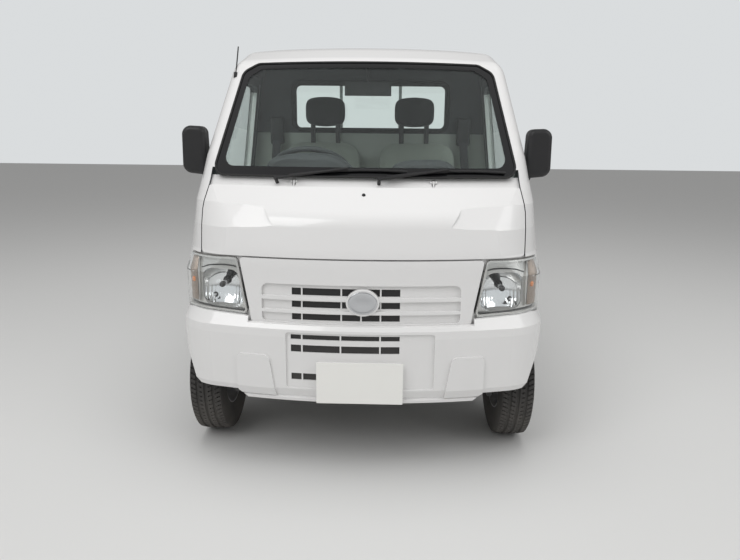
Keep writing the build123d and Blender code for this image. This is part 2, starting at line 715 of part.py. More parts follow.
with BuildPart() as column:
    rod(along_column(-330), along_column(-55 - side_clear), 22)
    rod(along_column(-190), along_column(-64), 44)
    add(dashboard.part, mode=Mode.SUBTRACT)
    block(-800, 800, 0, 2000, 0, floor_top, mode=Mode.SUBTRACT)
save(column.part, "steering_column")
with BuildPart() as steering:
    plane = Plane(origin=column_top, z_dir=column_lean)
    with BuildSketch(Plane(origin=column_top, x_dir=plane.z_dir, z_dir=plane.x_dir)) as ring:
        with Locations((0, wheel_ring)):
            Circle(wheel_grip)
    revolve(ring.sketch, axis=Axis(column_top, column_lean))
    rod(along_column(-55), along_column(-5), 46)
    with BuildSketch(plane.offset(-24)) as spokes:
        with PolarLocations(0, 3, start_angle=90):
            with Locations((wheel_ring / 2, 0)):
                Rectangle(wheel_ring, 34)
    extrude(spokes.sketch, amount=12)
save(steering.part, "steering_wheel")

# Seats: cushion, back and headrest on each side
seat_half, seat_front, seat_rear = 225.0, 860.0, 1250.0
cushion_top, back_top = 852.0, 1292.0
with BuildPart() as cushions:
    for side in (1, -1):
        rows = [(seat_front, seat_deck + 0.3, 20.0), (seat_front - 14, cushion_top, 50.0), (seat_rear, cushion_top - 30, 30.0), (seat_rear, seat_deck + 0.3, 10.0)]
        extrude(side_face(side * seat_x - seat_half, rows), amount=2 * seat_half)
save(cushions.part, "seat_cushions")
with BuildPart() as backs:
    for side in (1, -1):
        rows = [(seat_rear - 104, cushion_top - 16, 20.0), (seat_rear - 62, back_top, 40.0), (seat_rear + 40, back_top, 40.0), (seat_rear + 62, seat_deck + 20, 20.0), (seat_rear + side_clear, seat_deck + 20, 10.0), (seat_rear + side_clear, cushion_top - 16, 0.0)]
        extrude(side_face(side * seat_x - seat_half, rows), amount=2 * seat_half)
save(backs.part, "seat_backs")
with BuildPart() as headrests:
    for side in (1, -1):
        x = side * 242.0
        rows = [(x - 107, 1366.0, 40.0), (x + 107, 1366.0, 40.0), (x + 104, 1526.0, 50.0), (x - 104, 1526.0, 50.0)]
        extrude(front_face(seat_rear + 30, rows), amount=86)
        for post in (-52, 52):
            block(x + post - 9, x + post + 9, seat_rear - 22, seat_rear - 10, back_top + side_clear, 1400)
save(headrests.part, "headrests")

# Load bed floor: a plate with pressed ribs along it, on cross bearers
bed_half = half_body - gate_wall - shut_gap
with BuildPart() as bed_floor:
    block(-bed_half, bed_half, bed_front + headboard_wall, bed_rear - gate_wall - shut_gap, bed_height - bed_plate, bed_height)
    rib_count, rib_pitch, rib_depth = 11, 120.0, 6.0
    with Locations((0, station((bed_front + bed_rear) / 2), bed_height)):
        with GridLocations(rib_pitch, 0, rib_count, 1):
            Box(46, 1760, 2 * rib_depth, mode=Mode.SUBTRACT)
save(bed_floor.part, "bed_floor")
side_hinges = [1640.0, 2400.0, 3180.0]
tail_hinges = [-480.0, 0.0, 480.0]
hinge_height = bed_height - 4.0
# Each hinge's own frame: along the hinge line, outward from the bed, up
gate_hinges = {
    "left": [Plane((half_body, station(distance), hinge_height), x_dir=(0, -1, 0)) for distance in side_hinges],
    "right": [Plane((-half_body, station(distance), hinge_height), x_dir=(0, 1, 0)) for distance in side_hinges],
    "rear": [Plane((x, station(bed_rear), hinge_height), x_dir=(1, 0, 0)) for x in tail_hinges],
}
ear_width, ear_radius, arm_reach = 6.0, 6.5, 28.0


def hinge_ears(place):
    """Two ears on arms from the bed frame, with the pin that a gate's barrel turns on."""
    with Locations(place):
        for side in (-1, 1):
            x = side * (hinge_length / 2 + 1 + ear_width / 2)
            with Locations((x, -arm_reach / 2 - 3, -18)):
                Box(ear_width, arm_reach - 6, 46)
            with Locations((x, -arm_reach / 2, 0)):
                Box(ear_width, arm_reach, 10)
            with Locations((x, 0, 0)):
                Cylinder(ear_radius, ear_width, rotation=(0, 90, 0))
        Cylinder(hinge_pin, hinge_length + 2 + ear_width, rotation=(0, 90, 0))


def hinge_barrel(place):
    """A gate's barrel and its strap, bored for the pin."""
    with Locations(place):
        Cylinder(hinge_knuckle, hinge_length, rotation=(0, 90, 0))
        with Locations((0, 2, 21)):
            Box(hinge_length, 4, 42)
        Cylinder(hinge_pin + side_clear, hinge_length + 2, rotation=(0, 90, 0), mode=Mode.SUBTRACT)


# Cross bearers: station, bottom height
bearers = [(1460.0, 566.0), (1780.0, 566.0), (2140.0, 566.0), (2480.0, 566.0), (2780.0, 606.0), (3060.0, 606.0), (3330.0, 606.0)]
with BuildPart() as bed_bearers:
    for distance, low in bearers:
        block(-bed_half + 40, bed_half - 40, distance - 28, distance + 28, low, bed_height - bed_plate)
    for side in (1, -1):
        block(side * (bed_half - 40), side * (bed_half + 8), bed_front + headboard_wall, bed_rear - 20, bed_height - 80, bed_height - bed_plate)
    block(-bed_half + 40, bed_half - 40, bed_rear - 40, bed_rear - 16, bed_height - 60, bed_height - bed_plate)
    for place in gate_hinges["left"] + gate_hinges["right"] + gate_hinges["rear"]:
        hinge_ears(place)
save(bed_bearers.part, "bed_frame")

# Headboard with its guard frame in front of the rear window
guard_top, guard_tube = 1634.0, 15.0
with BuildPart() as headboard:
    block(-half_body + 2, half_body - 2, bed_front, bed_front + headboard_wall, bed_height - 80, bed_height + gate_height)
    for height in (735.0, 800.0, 865.0):
        rows = mirrored([(600.0, height - 12, 11.0), (600.0, height + 12, 11.0)])
        extrude(front_face(bed_front + headboard_wall + 5, rows), amount=10, mode=Mode.SUBTRACT)
    y = station(bed_front + headboard_wall / 2)
    base = bed_height + gate_height - 10
    for side in (1, -1):
        rod((side * 690, y, base), (side * 660, y, guard_top), guard_tube)
        rod((side * 168, y, base), (side * 168, y, guard_top), 9)
    rod((-660, y, guard_top), (660, y, guard_top), guard_tube)
    rod((-672, y, 1290.0), (672, y, 1290.0), 9)
save(headboard.part, "headboard")

# Drop sides and tailgate: pressed panels with a rolled top rail
gate_low = bed_height + 4.0
gate_high = bed_height + gate_height
with BuildPart() as gate_left:
    block(half_body - gate_wall, half_body, bed_front + headboard_wall + shut_gap, bed_rear, gate_low, gate_high)
    for low, high in ((gate_low + 40, gate_low + 110), (gate_low + 145, gate_low + 215)):
        block(half_body - 7, half_body + 1, bed_front + 120, bed_rear - 120, low, high, mode=Mode.SUBTRACT)
        block(half_body - gate_wall - 1, half_body - gate_wall + 7, bed_front + 120, bed_rear - 120, low, high, mode=Mode.SUBTRACT)
    for place in gate_hinges["left"]:
        hinge_barrel(place)
save(gate_left.part, "side_gate_left")
with BuildPart() as gate_right:
    add(gate_left.part)
    mirror(about=Plane.YZ, mode=Mode.REPLACE)
save(gate_right.part, "side_gate_right")
with BuildPart() as tailgate:
    block(-bed_half, bed_half, bed_rear - gate_wall, bed_rear, gate_low, gate_high)
    for low, high in ((gate_low + 40, gate_low + 110), (gate_low + 145, gate_low + 215)):
        block(-bed_half + 100, bed_half - 100, bed_rear - 7, bed_rear + 1, low, high, mode=Mode.SUBTRACT)
        block(-bed_half + 100, bed_half - 100, bed_rear - gate_wall - 1, bed_rear - gate_wall + 7, low, high, mode=Mode.SUBTRACT)
    for place in gate_hinges["rear"]:
        hinge_barrel(place)
save(tailgate.part, "tailgate")

# Chassis rails, kicked up behind the cab and over the rear axle
rail_rows = [
    (150.0, 385.0, 0.0), (1390.0, 385.0, 60.0), (1530.0, 470.0, 60.0), (2480.0, 470.0, 60.0), (2640.0, 520.0, 60.0),
    (3335.0, 520.0, 0.0), (3335.0, 606.0, 0.0), (2620.0, 606.0, 60.0), (2520.0, 566.0, 60.0), (1520.0, 566.0, 60.0),
    (1400.0, 475.0, 60.0), (150.0, 475.0, 0.0),
]
with BuildPart() as rails:
    for side in (1, -1):
        extrude(side_face(side * rail_half - rail_width / 2, rail_rows), amount=rail_width)
save(rails.part, "frame_rails")
inner_rail = rail_half - rail_width / 2
with BuildPart() as cross:
    # Columns: station, bottom height, top height
    for distance, low, high in ((180.0, 395.0, 465.0), (760.0, 395.0, 465.0), (1250.0, 395.0, 465.0), (1700.0, 480.0, 556.0), (2250.0, 480.0, 556.0), (3300.0, 530.0, 596.0)):
        block(-inner_rail, inner_rail, distance - 25, distance + 25, low, high)
save(cross.part, "cross_members")

# Wheels: a tyre and a pressed rim on each hub
wheel_names = {"front_left": (1, "front"), "front_right": (-1, "front"), "rear_left": (1, "rear"), "rear_right": (-1, "rear")}


def tyre_section(side, y):
    """Half of a tyre's section, outer side away from the truck."""
    half = tyre_width / 2
    rows = [
        (-rim_width / 2, bead_radius, 0.0), (-half, bead_radius + 46, 40.0), (-half + 8, tyre_radius - 6, 16.0), (0.0, tyre_radius, 0.0),
        (half - 8, tyre_radius - 6, 16.0), (half, bead_radius + 46, 40.0), (rim_width / 2, bead_radius, 0.0),
    ]
    plane = Plane(origin=(side * track / 2, y, tyre_radius), x_dir=(1, 0, 0), z_dir=(0, -1, 0))
    return outline(plane, [(row[0], row[1]) for row in rows], [row[2] for row in rows])


for name, (side, axle) in wheel_names.items():
    y = station(axle_station[axle])
    x = side * track / 2
    with BuildPart() as tyre:
        revolve(tyre_section(side, y), axis=Axis((x, y, tyre_radius), (1, 0, 0)))
    save(tyre.part, f"tyre_{name}")
    with BuildPart() as rim:
        inner = bead_radius - rim_wall
        rod((x - rim_width / 2, y, tyre_radius), (x + rim_width / 2, y, tyre_radius), bead_radius)
        rod((x - rim_width / 2 - 1, y, tyre_radius), (x + rim_width / 2 + 1, y, tyre_radius), inner, mode=Mode.SUBTRACT)
        disc = x + side * 28
        rod((disc, y, tyre_radius), (disc + side * 6, y, tyre_radius), inner + 1)
        rod((disc - side * 44, y, tyre_radius), (disc + side * 24, y, tyre_radius), hub_radius - 5)
        rod((disc - side * 45, y, tyre_radius), (disc - side * 10, y, tyre_radius), spindle_radius + running_fit, mode=Mode.SUBTRACT)
        with BuildSketch(Plane(origin=(disc - side, y, tyre_radius), x_dir=(0, 1, 0), z_dir=(side, 0, 0))) as holes:
            with PolarLocations(118, 12):
                Circle(11)
        extrude(holes.sketch, amount=10, mode=Mode.SUBTRACT)
    save(rim.part, f"rim_{name}")

# Knuckles: each turns on the tilted line through its strut's top mount and its lower ball joint
low_x, low_z, top_x, top_z = steer_tilt


def strut_point(side, height):
    """The point on one side's steering axis at a height."""
    share = (height - low_z) / (top_z - low_z)
    return (side * (low_x + share * (top_x - low_x)), station(front_axle), height)


for name, side in (("left", 1), ("right", -1)):
    y = station(front_axle)
    disc = side * (track / 2 + 28)
    with BuildPart() as knuckle:
        rod(strut_point(side, low_z + 14), strut_point(side, 430.0), 20)
        rod((side * 585, y, tyre_radius), (disc - side * 46, y, tyre_radius), 32)
        rod((disc - side * 70, y, tyre_radius), (disc - side * 12, y, tyre_radius), spindle_radius)
        block(side * 560, side * 590, front_axle, front_axle + 120, tyre_radius - 40, tyre_radius - 18)
    save(knuckle.part, f"knuckle_{name}")

# Front suspension: lower arms, springs over the struts, top mounts and steering rack
with BuildPart() as front_suspension:
    for side in (1, -1):
        y = station(front_axle)
        rod((side * 300, y + 40, 205), (side * 598, y, 178), 18)
        rod(strut_point(side, 176.0), strut_point(side, low_z + 14 - side_clear), 14)
        rod(strut_point(side, 430.0 + side_clear), strut_point(side, 588.0), 20)
    rod((-300, station(front_axle) + 40, 205), (300, station(front_axle) + 40, 205), 24)
    block(-330, 330, front_axle + 20, front_axle + 80, 205, 250)
    for side in (1, -1):
        block(side * 300, side * 360, front_axle + 20, front_axle + 80, 205, 385)
save(front_suspension.part, "front_suspension")

# Rear axle beam with hub ends
rear_y = station(axle_station["rear"])
rear_disc = track / 2 + 28
with BuildPart() as rear_axle:
    rod((-rear_disc + 46, rear_y, tyre_radius), (rear_disc - 46, rear_y, tyre_radius), 34)
    for side in (1, -1):
        rod((side * (rear_disc - 70), rear_y, tyre_radius), (side * (rear_disc - 12), rear_y, tyre_radius), spindle_radius)
        rod((side * (spring_half + 45), rear_y, tyre_radius), (side * (rear_disc - 46), rear_y, tyre_radius), 60)
        block(side * (spring_half - 35), side * (spring_half + 35), axle_station["rear"] - 45, axle_station["rear"] + 45, tyre_radius, tyre_radius + 42)
save(rear_axle.part, "rear_axle")

# Leaf springs: stacked leaves of one bow, with hangers from the rails
leaf_thick, leaf_count, leaf_span = 8.0, 3, 440.0
with BuildPart() as springs:
    seat = tyre_radius + 42
    for side in (1, -1):
        for leaf in range(leaf_count):
            reach = leaf_span * (1 - 0.28 * leaf)
            rise = 90.0 * (reach / leaf_span) ** 2
            low = seat + (leaf_count - 1 - leaf) * leaf_thick
            plane = Plane.YZ.offset(side * spring_half - 30)
            with BuildSketch(plane) as section:
                with BuildLine():
                    middle = axle_station["rear"]
                    ThreePointArc((station(middle - reach), low + rise), (station(middle), low), (station(middle + reach), low + rise))
                    Line((station(middle + reach), low + rise), (station(middle + reach), low + rise + leaf_thick))
                    ThreePointArc((station(middle + reach), low + rise + leaf_thick), (station(middle), low + leaf_thick), (station(middle - reach), low + rise + leaf_thick))
                    Line((station(middle - reach), low + rise + leaf_thick), (station(middle - reach), low + rise))
                make_face()
            extrude(section.sketch, amount=60)
        for end in (-1, 1):
            distance = axle_station["rear"] + end * leaf_span
            top = seat + 2 * leaf_thick + 90.0
            block(side * (inner_rail + rail_width), side * (spring_half + 40), distance - 22, distance + 22, top + leaf_thick, top + 110)
save(springs.part, "leaf_springs")

# Engine and gearbox under the bed, fuel tank, exhaust
with BuildPart() as engine:
    block(-290, 290, 2275 + side_clear, 2720, 205, 550)
save(engine.part, "engine_block")
with BuildPart() as tank:
    block(-680, -rail_half - rail_width / 2 - side_clear, 1560, 2150, 250, 540)
    fillet(tank.edges().filter_by(Axis.Y), 40)
save(tank.part, "fuel_tank")
with BuildPart() as exhaust:
    rod((180, station(2980.0), 400), (180, station(3290.0), 400), 70)
    rod((180, station(3290.0), 400), (180, station(3375.0), 400), 19)
    rod((180, station(2720.0), 400), (180, station(2980.0), 400), 19)
save(exhaust.part, "exhaust")

# Rear valance with lamps below the bed
with BuildPart() as valance:
    block(-700, 700, bed_rear - 50, bed_rear - 16, 500, 572)
save(valance.part, "rear_valance")
with BuildPart() as tail_lamps:
    for side in (1, -1):
        block(side * 480, side * 690, bed_rear - 16, bed_rear - 6, 500, 600)
save(tail_lamps.part, "tail_lamps")
with BuildPart() as fenders:
    for side in (1, -1):
        x = side * track / 2
        rod((x - 80, rear_y, tyre_radius), (x + 80, rear_y, tyre_radius), 352)
        rod((x - 81, rear_y, tyre_radius), (x + 81, rear_y, tyre_radius), 346, mode=Mode.SUBTRACT)
    block(-800, 800, 0, 3500, -200, 400, mode=Mode.SUBTRACT)
    block(-800, 800, 0, 3500, 574.7, 900, mode=Mode.SUBTRACT)
    for side in (1, -1):
        block(side * (track / 2 - 80), side * (track / 2 + 80), 3186, 3192, 190, 430)
save(fenders.part, "rear_fenders")

# Wipers, antenna and inside mirror
with BuildPart() as antenna:
    rod((-612, station(757.0), 1572), (-629, station(905.0), 1728), 3)
    rod((-612, station(757.0), 1572), (-614, station(772.0), 1594), 9)
    add(side_right.part, mode=Mode.SUBTRACT)
    add(roof.part, mode=Mode.SUBTRACT)
save(antenna.part, "antenna")
with BuildPart() as inside_mirror:
    block(-110, 110, 818, 844, 1500, 1562)
    rod((0, station(838.0), 1559), (0, station(805.1), 1645), 7)
save(inside_mirror.part, "inside_mirror")

# Wipers: a stub through the cowl, an arm and a bowed blade lying on the glass
glass_low, glass_high = cab_side[4], cab_side[5]
glass_rise = atan2(glass_high[1] - glass_low[1], glass_high[0] - glass_low[0])


def on_screen(x, z, proud):
    """A point over the windscreen, this far out from the cab's outer form."""
    nose = glass_low[0] + (z - glass_low[1]) / (glass_high[1] - glass_low[1]) * (glass_high[0] - glass_low[0])
    reach = ((bow_centre - nose) ** 2 - x**2) ** 0.5
    outward = proud * sin(glass_rise)
    return (x * (1 + outward / reach), station(bow_centre - reach - outward), z + proud * cos(glass_rise))


def arc_rod(start, middle, end, radius):
    """A round bar bent through three points."""
    with BuildLine() as path:
        ThreePointArc(start, middle, end)
    with BuildSketch(Plane(origin=start, z_dir=path.line % 0)) as section:
        Circle(radius)
    sweep(section.sketch, path=path.line)


# Each wiper's points as x and height: pivot, inner end, middle and outer end of the blade
wiper_rows = [
    ((-352.0, 1136.0), (-300.0, 1152.0), (-64.0, 1174.0), (174.0, 1170.0)),
    ((62.0, 1136.0), (92.0, 1150.0), (338.0, 1172.0), (578.0, 1168.0)),
]
blade_radius, arm_radius, stub_radius = 6.0, 5.5, 7.0
blade_over = blade_radius - lens_wall + side_clear + 0.5
with BuildPart() as wipers:
    for pivot, inner, middle, outer in wiper_rows:
        arc_rod(on_screen(*inner, blade_over), on_screen(*middle, blade_over), on_screen(*outer, blade_over), blade_radius)
        rod(on_screen(*pivot, 11), on_screen(middle[0], middle[1] + 2, 11), arm_radius)
        rod(on_screen(*pivot, -26), on_screen(*pivot, 16), stub_radius)
    add(cab_front.part, mode=Mode.SUBTRACT)
    add(side_left.part, mode=Mode.SUBTRACT)
save(wipers.part, "wipers")
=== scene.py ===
# %% [markdown]
# # A small drop-side truck in a pale studio
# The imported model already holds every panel, wheel and hinge at its true place. This lesson gives
# each of them a real finish, and adds the thin and soft things that pressed steel can't show: tyre
# treads, rubber seals, seat padding, lamp insides, latches and fittings.

# %% Load the truck's fixed frame
import json
import math

import bmesh
import bpy
import numpy as np
from mathutils import Matrix


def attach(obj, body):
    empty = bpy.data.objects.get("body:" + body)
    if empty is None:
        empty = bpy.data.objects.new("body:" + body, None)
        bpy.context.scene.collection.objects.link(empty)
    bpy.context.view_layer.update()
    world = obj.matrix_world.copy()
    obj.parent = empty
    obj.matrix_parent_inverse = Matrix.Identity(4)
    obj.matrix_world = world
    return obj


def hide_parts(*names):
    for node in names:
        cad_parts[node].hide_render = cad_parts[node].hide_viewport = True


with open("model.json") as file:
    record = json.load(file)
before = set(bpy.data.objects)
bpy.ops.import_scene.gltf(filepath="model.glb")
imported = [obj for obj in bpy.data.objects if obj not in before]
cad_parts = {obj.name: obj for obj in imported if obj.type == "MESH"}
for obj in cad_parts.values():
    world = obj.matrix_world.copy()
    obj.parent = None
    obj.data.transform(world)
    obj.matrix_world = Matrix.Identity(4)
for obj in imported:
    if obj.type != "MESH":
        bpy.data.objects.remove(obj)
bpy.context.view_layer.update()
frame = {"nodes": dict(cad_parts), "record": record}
nodes = frame["nodes"]

# %% [markdown]
# Every added piece is a surface of two parameters. Such pieces could be modelled by hand, but a
# grid worked out from numbers follows one changed value at once. One small helper turns a grid of
# points into faces, another joins several grids into one piece and hangs it on what it moves with.

# %% Turn grids of points into pieces
MM = 0.001
LENGTH = 3.395
SIDES = (("left", 1), ("right", -1))


def at_station(distance):
    """The y of a point this many millimetres behind the truck's foremost point."""
    return distance * MM - LENGTH / 2


def grid_patch(points, round_u=False, round_v=False, caps=False):
    """Faces of a grid: cell (i, j) joins points (i, j), (i, j+1), (i+1, j+1) and (i+1, j)."""
    rows, columns = points.shape[:2]
    i = np.arange(rows if round_u else rows - 1)[:, None]
    j = np.arange(columns if round_v else columns - 1)[None, :]
    i_next, j_next = (i + 1) % rows, (j + 1) % columns
    corners = [i * columns + j, i * columns + j_next, i_next * columns + j_next, i_next * columns + j]
    faces = np.stack([corner.ravel() for corner in corners], axis=1).tolist()
    if caps:
        faces.append(list(range(columns))[::-1])
        faces.append(list(range((rows - 1) * columns, rows * columns)))
    return points.reshape(-1, 3), faces


def add_piece(name, patches, material, body, sharp=35.0, closed=True):
    """Join the patches into one smooth mesh, point its faces outwards and let it ride on a body."""
    points, faces, first = [], [], 0
    for patch_points, patch_faces in patches:
        points.append(patch_points)
        faces += [[index + first for index in face] for face in patch_faces]
        first += len(patch_points)
    mesh = bpy.data.meshes.new(name)
    mesh.from_pydata(np.concatenate(points).tolist(), [], faces)
    if closed:
        tidy = bmesh.new()
        tidy.from_mesh(mesh)
        bmesh.ops.remove_doubles(tidy, verts=tidy.verts, dist=1e-6)
        bmesh.ops.recalc_face_normals(tidy, faces=tidy.faces)
        tidy.to_mesh(mesh)
        tidy.free()
    mesh.polygons.foreach_set("use_smooth", np.ones(len(mesh.polygons), dtype=bool))
    mesh.set_sharp_from_angle(angle=math.radians(sharp))
    mesh.materials.append(material)
    piece = bpy.data.objects.new(name, mesh)
    bpy.context.scene.collection.objects.link(piece)
    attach(piece, body)
    return piece


print("stations run from y =", at_station(0.0), "m, over a length of", LENGTH, "m")

# %% [markdown]
# Four kinds of form cover nearly all fittings on a truck: a profile turned about an axis, a bar
# carried along a path, a stack of outlines, and a smooth path through a few points. Ready-made
# cylinders and boxes would be quicker, but they have none of the lips and soft edges of real parts.

# %% Make turned, swept and stacked forms
TIP = 0.0002  # a turned profile starts and ends this close to its axis
ASIDE = (0.31, 0.17, 0.93)  # a direction that no turned piece's axis shares


def unit(vectors):
    """Vectors divided by their own lengths."""
    vectors = np.asarray(vectors, float)
    return vectors / np.linalg.norm(vectors, axis=-1, keepdims=True)


def turned(profile, centre, axis, count=48):
    """A profile of (radius, height) turned about an axis.

    Each point is centre + height * axis + radius * (cos u * side + sin u * other).
    """
    axis = unit(axis)
    side = unit(np.cross(axis, ASIDE))
    other = np.cross(axis, side)
    angle = np.linspace(0, 2 * math.pi, count, endpoint=False)
    ring = np.cos(angle)[:, None] * side + np.sin(angle)[:, None] * other
    radius, height = np.asarray(profile, float).T
    points = np.asarray(centre) + height[:, None, None] * axis + radius[:, None, None] * ring
    return grid_patch(points, round_v=True, caps=True)


def smooth_path(points, steps=8):
    """A Catmull-Rom curve: each span is the cubic through its ends with slopes from the neighbours."""
    points = np.asarray(points, float)
    ends = np.vstack([2 * points[0] - points[1], points, 2 * points[-1] - points[-2]])
    t = np.linspace(0, 1, steps, endpoint=False)[None, :, None]
    before, start, stop, after = (ends[k:len(ends) - 3 + k, None, :] for k in range(4))
    curve = 0.5 * (2 * start + (stop - before) * t + (2 * before - 5 * start + 4 * stop - after) * t**2
                   + (3 * start - before - 3 * stop + after) * t**3)
    return np.vstack([curve.reshape(-1, points.shape[1]), points[-1:]])


def swept(path, width, height=None, sides=12, closed=False, facing=(0, 0, 1)):
    """An oval bar along a path: point + cos u * width * across + sin u * height * facing side."""
    path = np.asarray(path, float)
    if closed:
        along = unit(np.roll(path, -1, axis=0) - np.roll(path, 1, axis=0))
    else:
        along = unit(np.gradient(path, axis=0))
    across = unit(np.cross(along, facing))
    up = np.cross(across, along)
    angle = np.linspace(0, 2 * math.pi, sides, endpoint=False)[None, :, None]
    height = width if height is None else height
    points = (path[:, None, :] + width * np.cos(angle) * across[:, None, :]
              + height * np.sin(angle) * up[:, None, :])
    return grid_patch(points, round_u=closed, round_v=True, caps=not closed)


def rounded_outline(corners, radii, steps=6):
    """A closed outline with arcs for corners: each runs between its corner's tangent points."""
    corners = np.asarray(corners, float)
    radii = np.broadcast_to(radii, len(corners)).astype(float)
    back = unit(np.roll(corners, 1, axis=0) - corners)
    ahead = unit(np.roll(corners, -1, axis=0) - corners)
    half = np.arccos(np.clip((back * ahead).sum(1), -1, 1)) / 2
    middle = corners + unit(back + ahead) * (radii / np.sin(half))[:, None]
    start = corners + back * (radii / np.tan(half))[:, None] - middle
    stop = corners + ahead * (radii / np.tan(half))[:, None] - middle
    t = np.linspace(0, 1, steps)[None, :, None]
    chord = unit(start[:, None] * (1 - t) + stop[:, None] * t + 1e-12)
    return (middle[:, None] + chord * radii[:, None, None]).reshape(-1, 2)


def stacked(outline, levels, centre, right, up):
    """Outlines laid one over another: centre + scaled outline in the (right, up) plane + level * normal.

    Each level is (height, inset); the inset draws the outline towards its middle by that length.
    """
    right, up = unit(right), unit(up)
    normal = np.cross(right, up)
    outline = np.asarray(outline, float)
    reach = np.linalg.norm(outline, axis=1, keepdims=True)
    rings = []
    for height, inset in levels:
        flat = outline * (1 - inset / reach)
        rings.append(np.asarray(centre) + flat[:, :1] * right + flat[:, 1:] * up + height * normal)
    return grid_patch(np.array(rings), round_v=True, caps=True)


plain_disc = turned([(TIP, 0.0), (1.0, 0.0)], (0, 0, 0), (0, 0, 1))
print("a plain turned disc has", len(plain_disc[1]), "faces")

# %% [markdown]
# The cab's front is one side profile turned about an upright axis far back in the bed, which is
# what bows the glass and the nose in plan. Seals and lamp parts could be pressed onto the panels'
# own faces, but the same few numbers that shape the panels put them there exactly.

# %% Describe the cab's bowed front and its leaning flanks
BOW_CENTRE = 2300.0
# columns: station, height and corner radius in millimetres
CAB_SIDE = [(62.0, 300.0, 0.0), (48.0, 620.0, 500.0), (64.0, 857.0, 500.0), (100.0, 1005.0, 110.0),
            (255.0, 1128.0, 60.0), (700.0, 1648.0, 160.0), (930.0, 1736.0, 500.0), (2300.0, 1762.0, 0.0)]
# columns: half width, height and corner radius
CAB_FLANK = [(726.0, 300.0, 0.0), (728.0, 870.0, 400.0), (708.0, 1085.0, 300.0), (643.0, 1600.0, 300.0),
             (612.0, 1716.0, 70.0)]
# columns: height and the radius that rounds the cab's corner there
CAB_CORNER = [(200.0, 170.0), (780.0, 175.0), (866.0, 305.0), (960.0, 300.0), (1050.0, 225.0),
              (1140.0, 150.0), (1270.0, 72.0), (1700.0, 72.0)]


def rounded_profile(rows, steps=16):
    """The open profile through its corners with each corner's arc put in."""
    inner = rows[1:-1]
    closed = rounded_outline([row[:2] for row in rows], [max(row[2], 0.01) for row in rows], steps)
    return closed.reshape(len(rows), steps, 2)[1:1 + len(inner)].reshape(-1, 2)


def drawn_in(profile, depth):
    """The profile moved inwards: each point goes this far against its own outward normal."""
    along = unit(np.gradient(profile, axis=0))
    return profile - depth * np.stack([-along[:, 1], along[:, 0]], axis=1)


cab_profile = np.vstack([[CAB_SIDE[0][:2]], rounded_profile(CAB_SIDE), [CAB_SIDE[-1][:2]]])
flank_profile = np.vstack([[CAB_FLANK[0][:2]], rounded_profile(CAB_FLANK), [CAB_FLANK[-1][:2]]])


def corner_arc(z, depth):
    """Each height's corner arc: its centre's half width and station, and its radius less the depth."""
    heights, radii = np.asarray(CAB_CORNER).T
    bow = BOW_CENTRE - np.interp(heights, [row[1] for row in CAB_SIDE], [row[0] for row in CAB_SIDE])
    half = np.interp(heights, [row[1] for row in CAB_FLANK], [row[0] for row in CAB_FLANK]) - radii
    centre = BOW_CENTRE - np.sqrt((bow - radii) ** 2 - half**2)
    return np.interp(z, heights, half), np.interp(z, heights, centre), np.interp(z, heights, radii) - depth


def on_front(x, z, depth=0.0):
    """Points of the bowed front in metres.

    The station is the bow's at height z, or the corner's arc where that lies behind the bow.
    """
    x, z = np.broadcast_arrays(np.asarray(x, float), np.asarray(z, float))
    shape = drawn_in(cab_profile, depth)
    station = np.interp(z, shape[:, 1], shape[:, 0])
    bowed = BOW_CENTRE - np.sqrt((BOW_CENTRE - station) ** 2 - np.square(x))
    half, centre, radius = corner_arc(z, depth)
    across = np.clip(np.abs(x) - half, 0.0, radius)
    cornered = centre - np.sqrt(radius**2 - across**2)
    behind = np.where(np.abs(x) > half + radius * 0.25, np.maximum(bowed, cornered), bowed)
    return np.stack([x * MM, at_station(behind), z * MM], axis=-1)


def on_flank(side, station, z, depth=0.0):
    """Points of the cab's flank in metres: the half width at height z, less the depth."""
    half = np.interp(z, flank_profile[:, 1], flank_profile[:, 0]) - depth
    return np.stack([side * half * MM, at_station(station), z * MM], axis=-1)


print("the nose stands", round(float(cab_profile[:, 0].min()), 1), "mm behind the foremost point")

# %% [markdown]
# Paint, plastic and rubber share a few surface effects: fine grain, road film near the ground, and
# the inner side of a panel. They could be built anew in each material, but as small node groups
# that put out masks and normals, each material can use them with its own numbers.

# %% Build the shared surface effects
def new_group(name, inputs, outputs):
    """An empty shader group with named float inputs and outputs of given kinds."""
    tree = bpy.data.node_groups.new(name, "ShaderNodeTree")
    for label, value in inputs.items():
        socket = tree.interface.new_socket(label, in_out="INPUT", socket_type="NodeSocketFloat")
        socket.default_value = value
    for label, kind in outputs.items():
        tree.interface.new_socket(label, in_out="OUTPUT", socket_type=kind)
    return tree, tree.nodes.new("NodeGroupInput"), tree.nodes.new("NodeGroupOutput")


def joined(tree, pairs):
    """Link each (from socket, to socket) pair of a node tree."""
    for start, stop in pairs:
        tree.links.new(start, stop)


def grain_group():
    """Bump from fine noise: height = noise(position * scale), tilted by strength."""
    tree, into, out = new_group("fine grain", {"Scale": 400.0, "Strength": 0.1, "Depth": 0.001},
                                {"Normal": "NodeSocketVector"})
    place = tree.nodes.new("ShaderNodeTexCoord")
    noise = tree.nodes.new("ShaderNodeTexNoise")
    noise.inputs["Detail"].default_value = 3.0
    bump = tree.nodes.new("ShaderNodeBump")
    joined(tree, [(place.outputs["Object"], noise.inputs["Vector"]),
                  (into.outputs["Scale"], noise.inputs["Scale"]),
                  (into.outputs["Strength"], bump.inputs["Strength"]),
                  (into.outputs["Depth"], bump.inputs["Distance"]),
                  (noise.outputs["Fac"], bump.inputs["Height"]),
                  (bump.outputs["Normal"], out.inputs["Normal"])])
    return tree


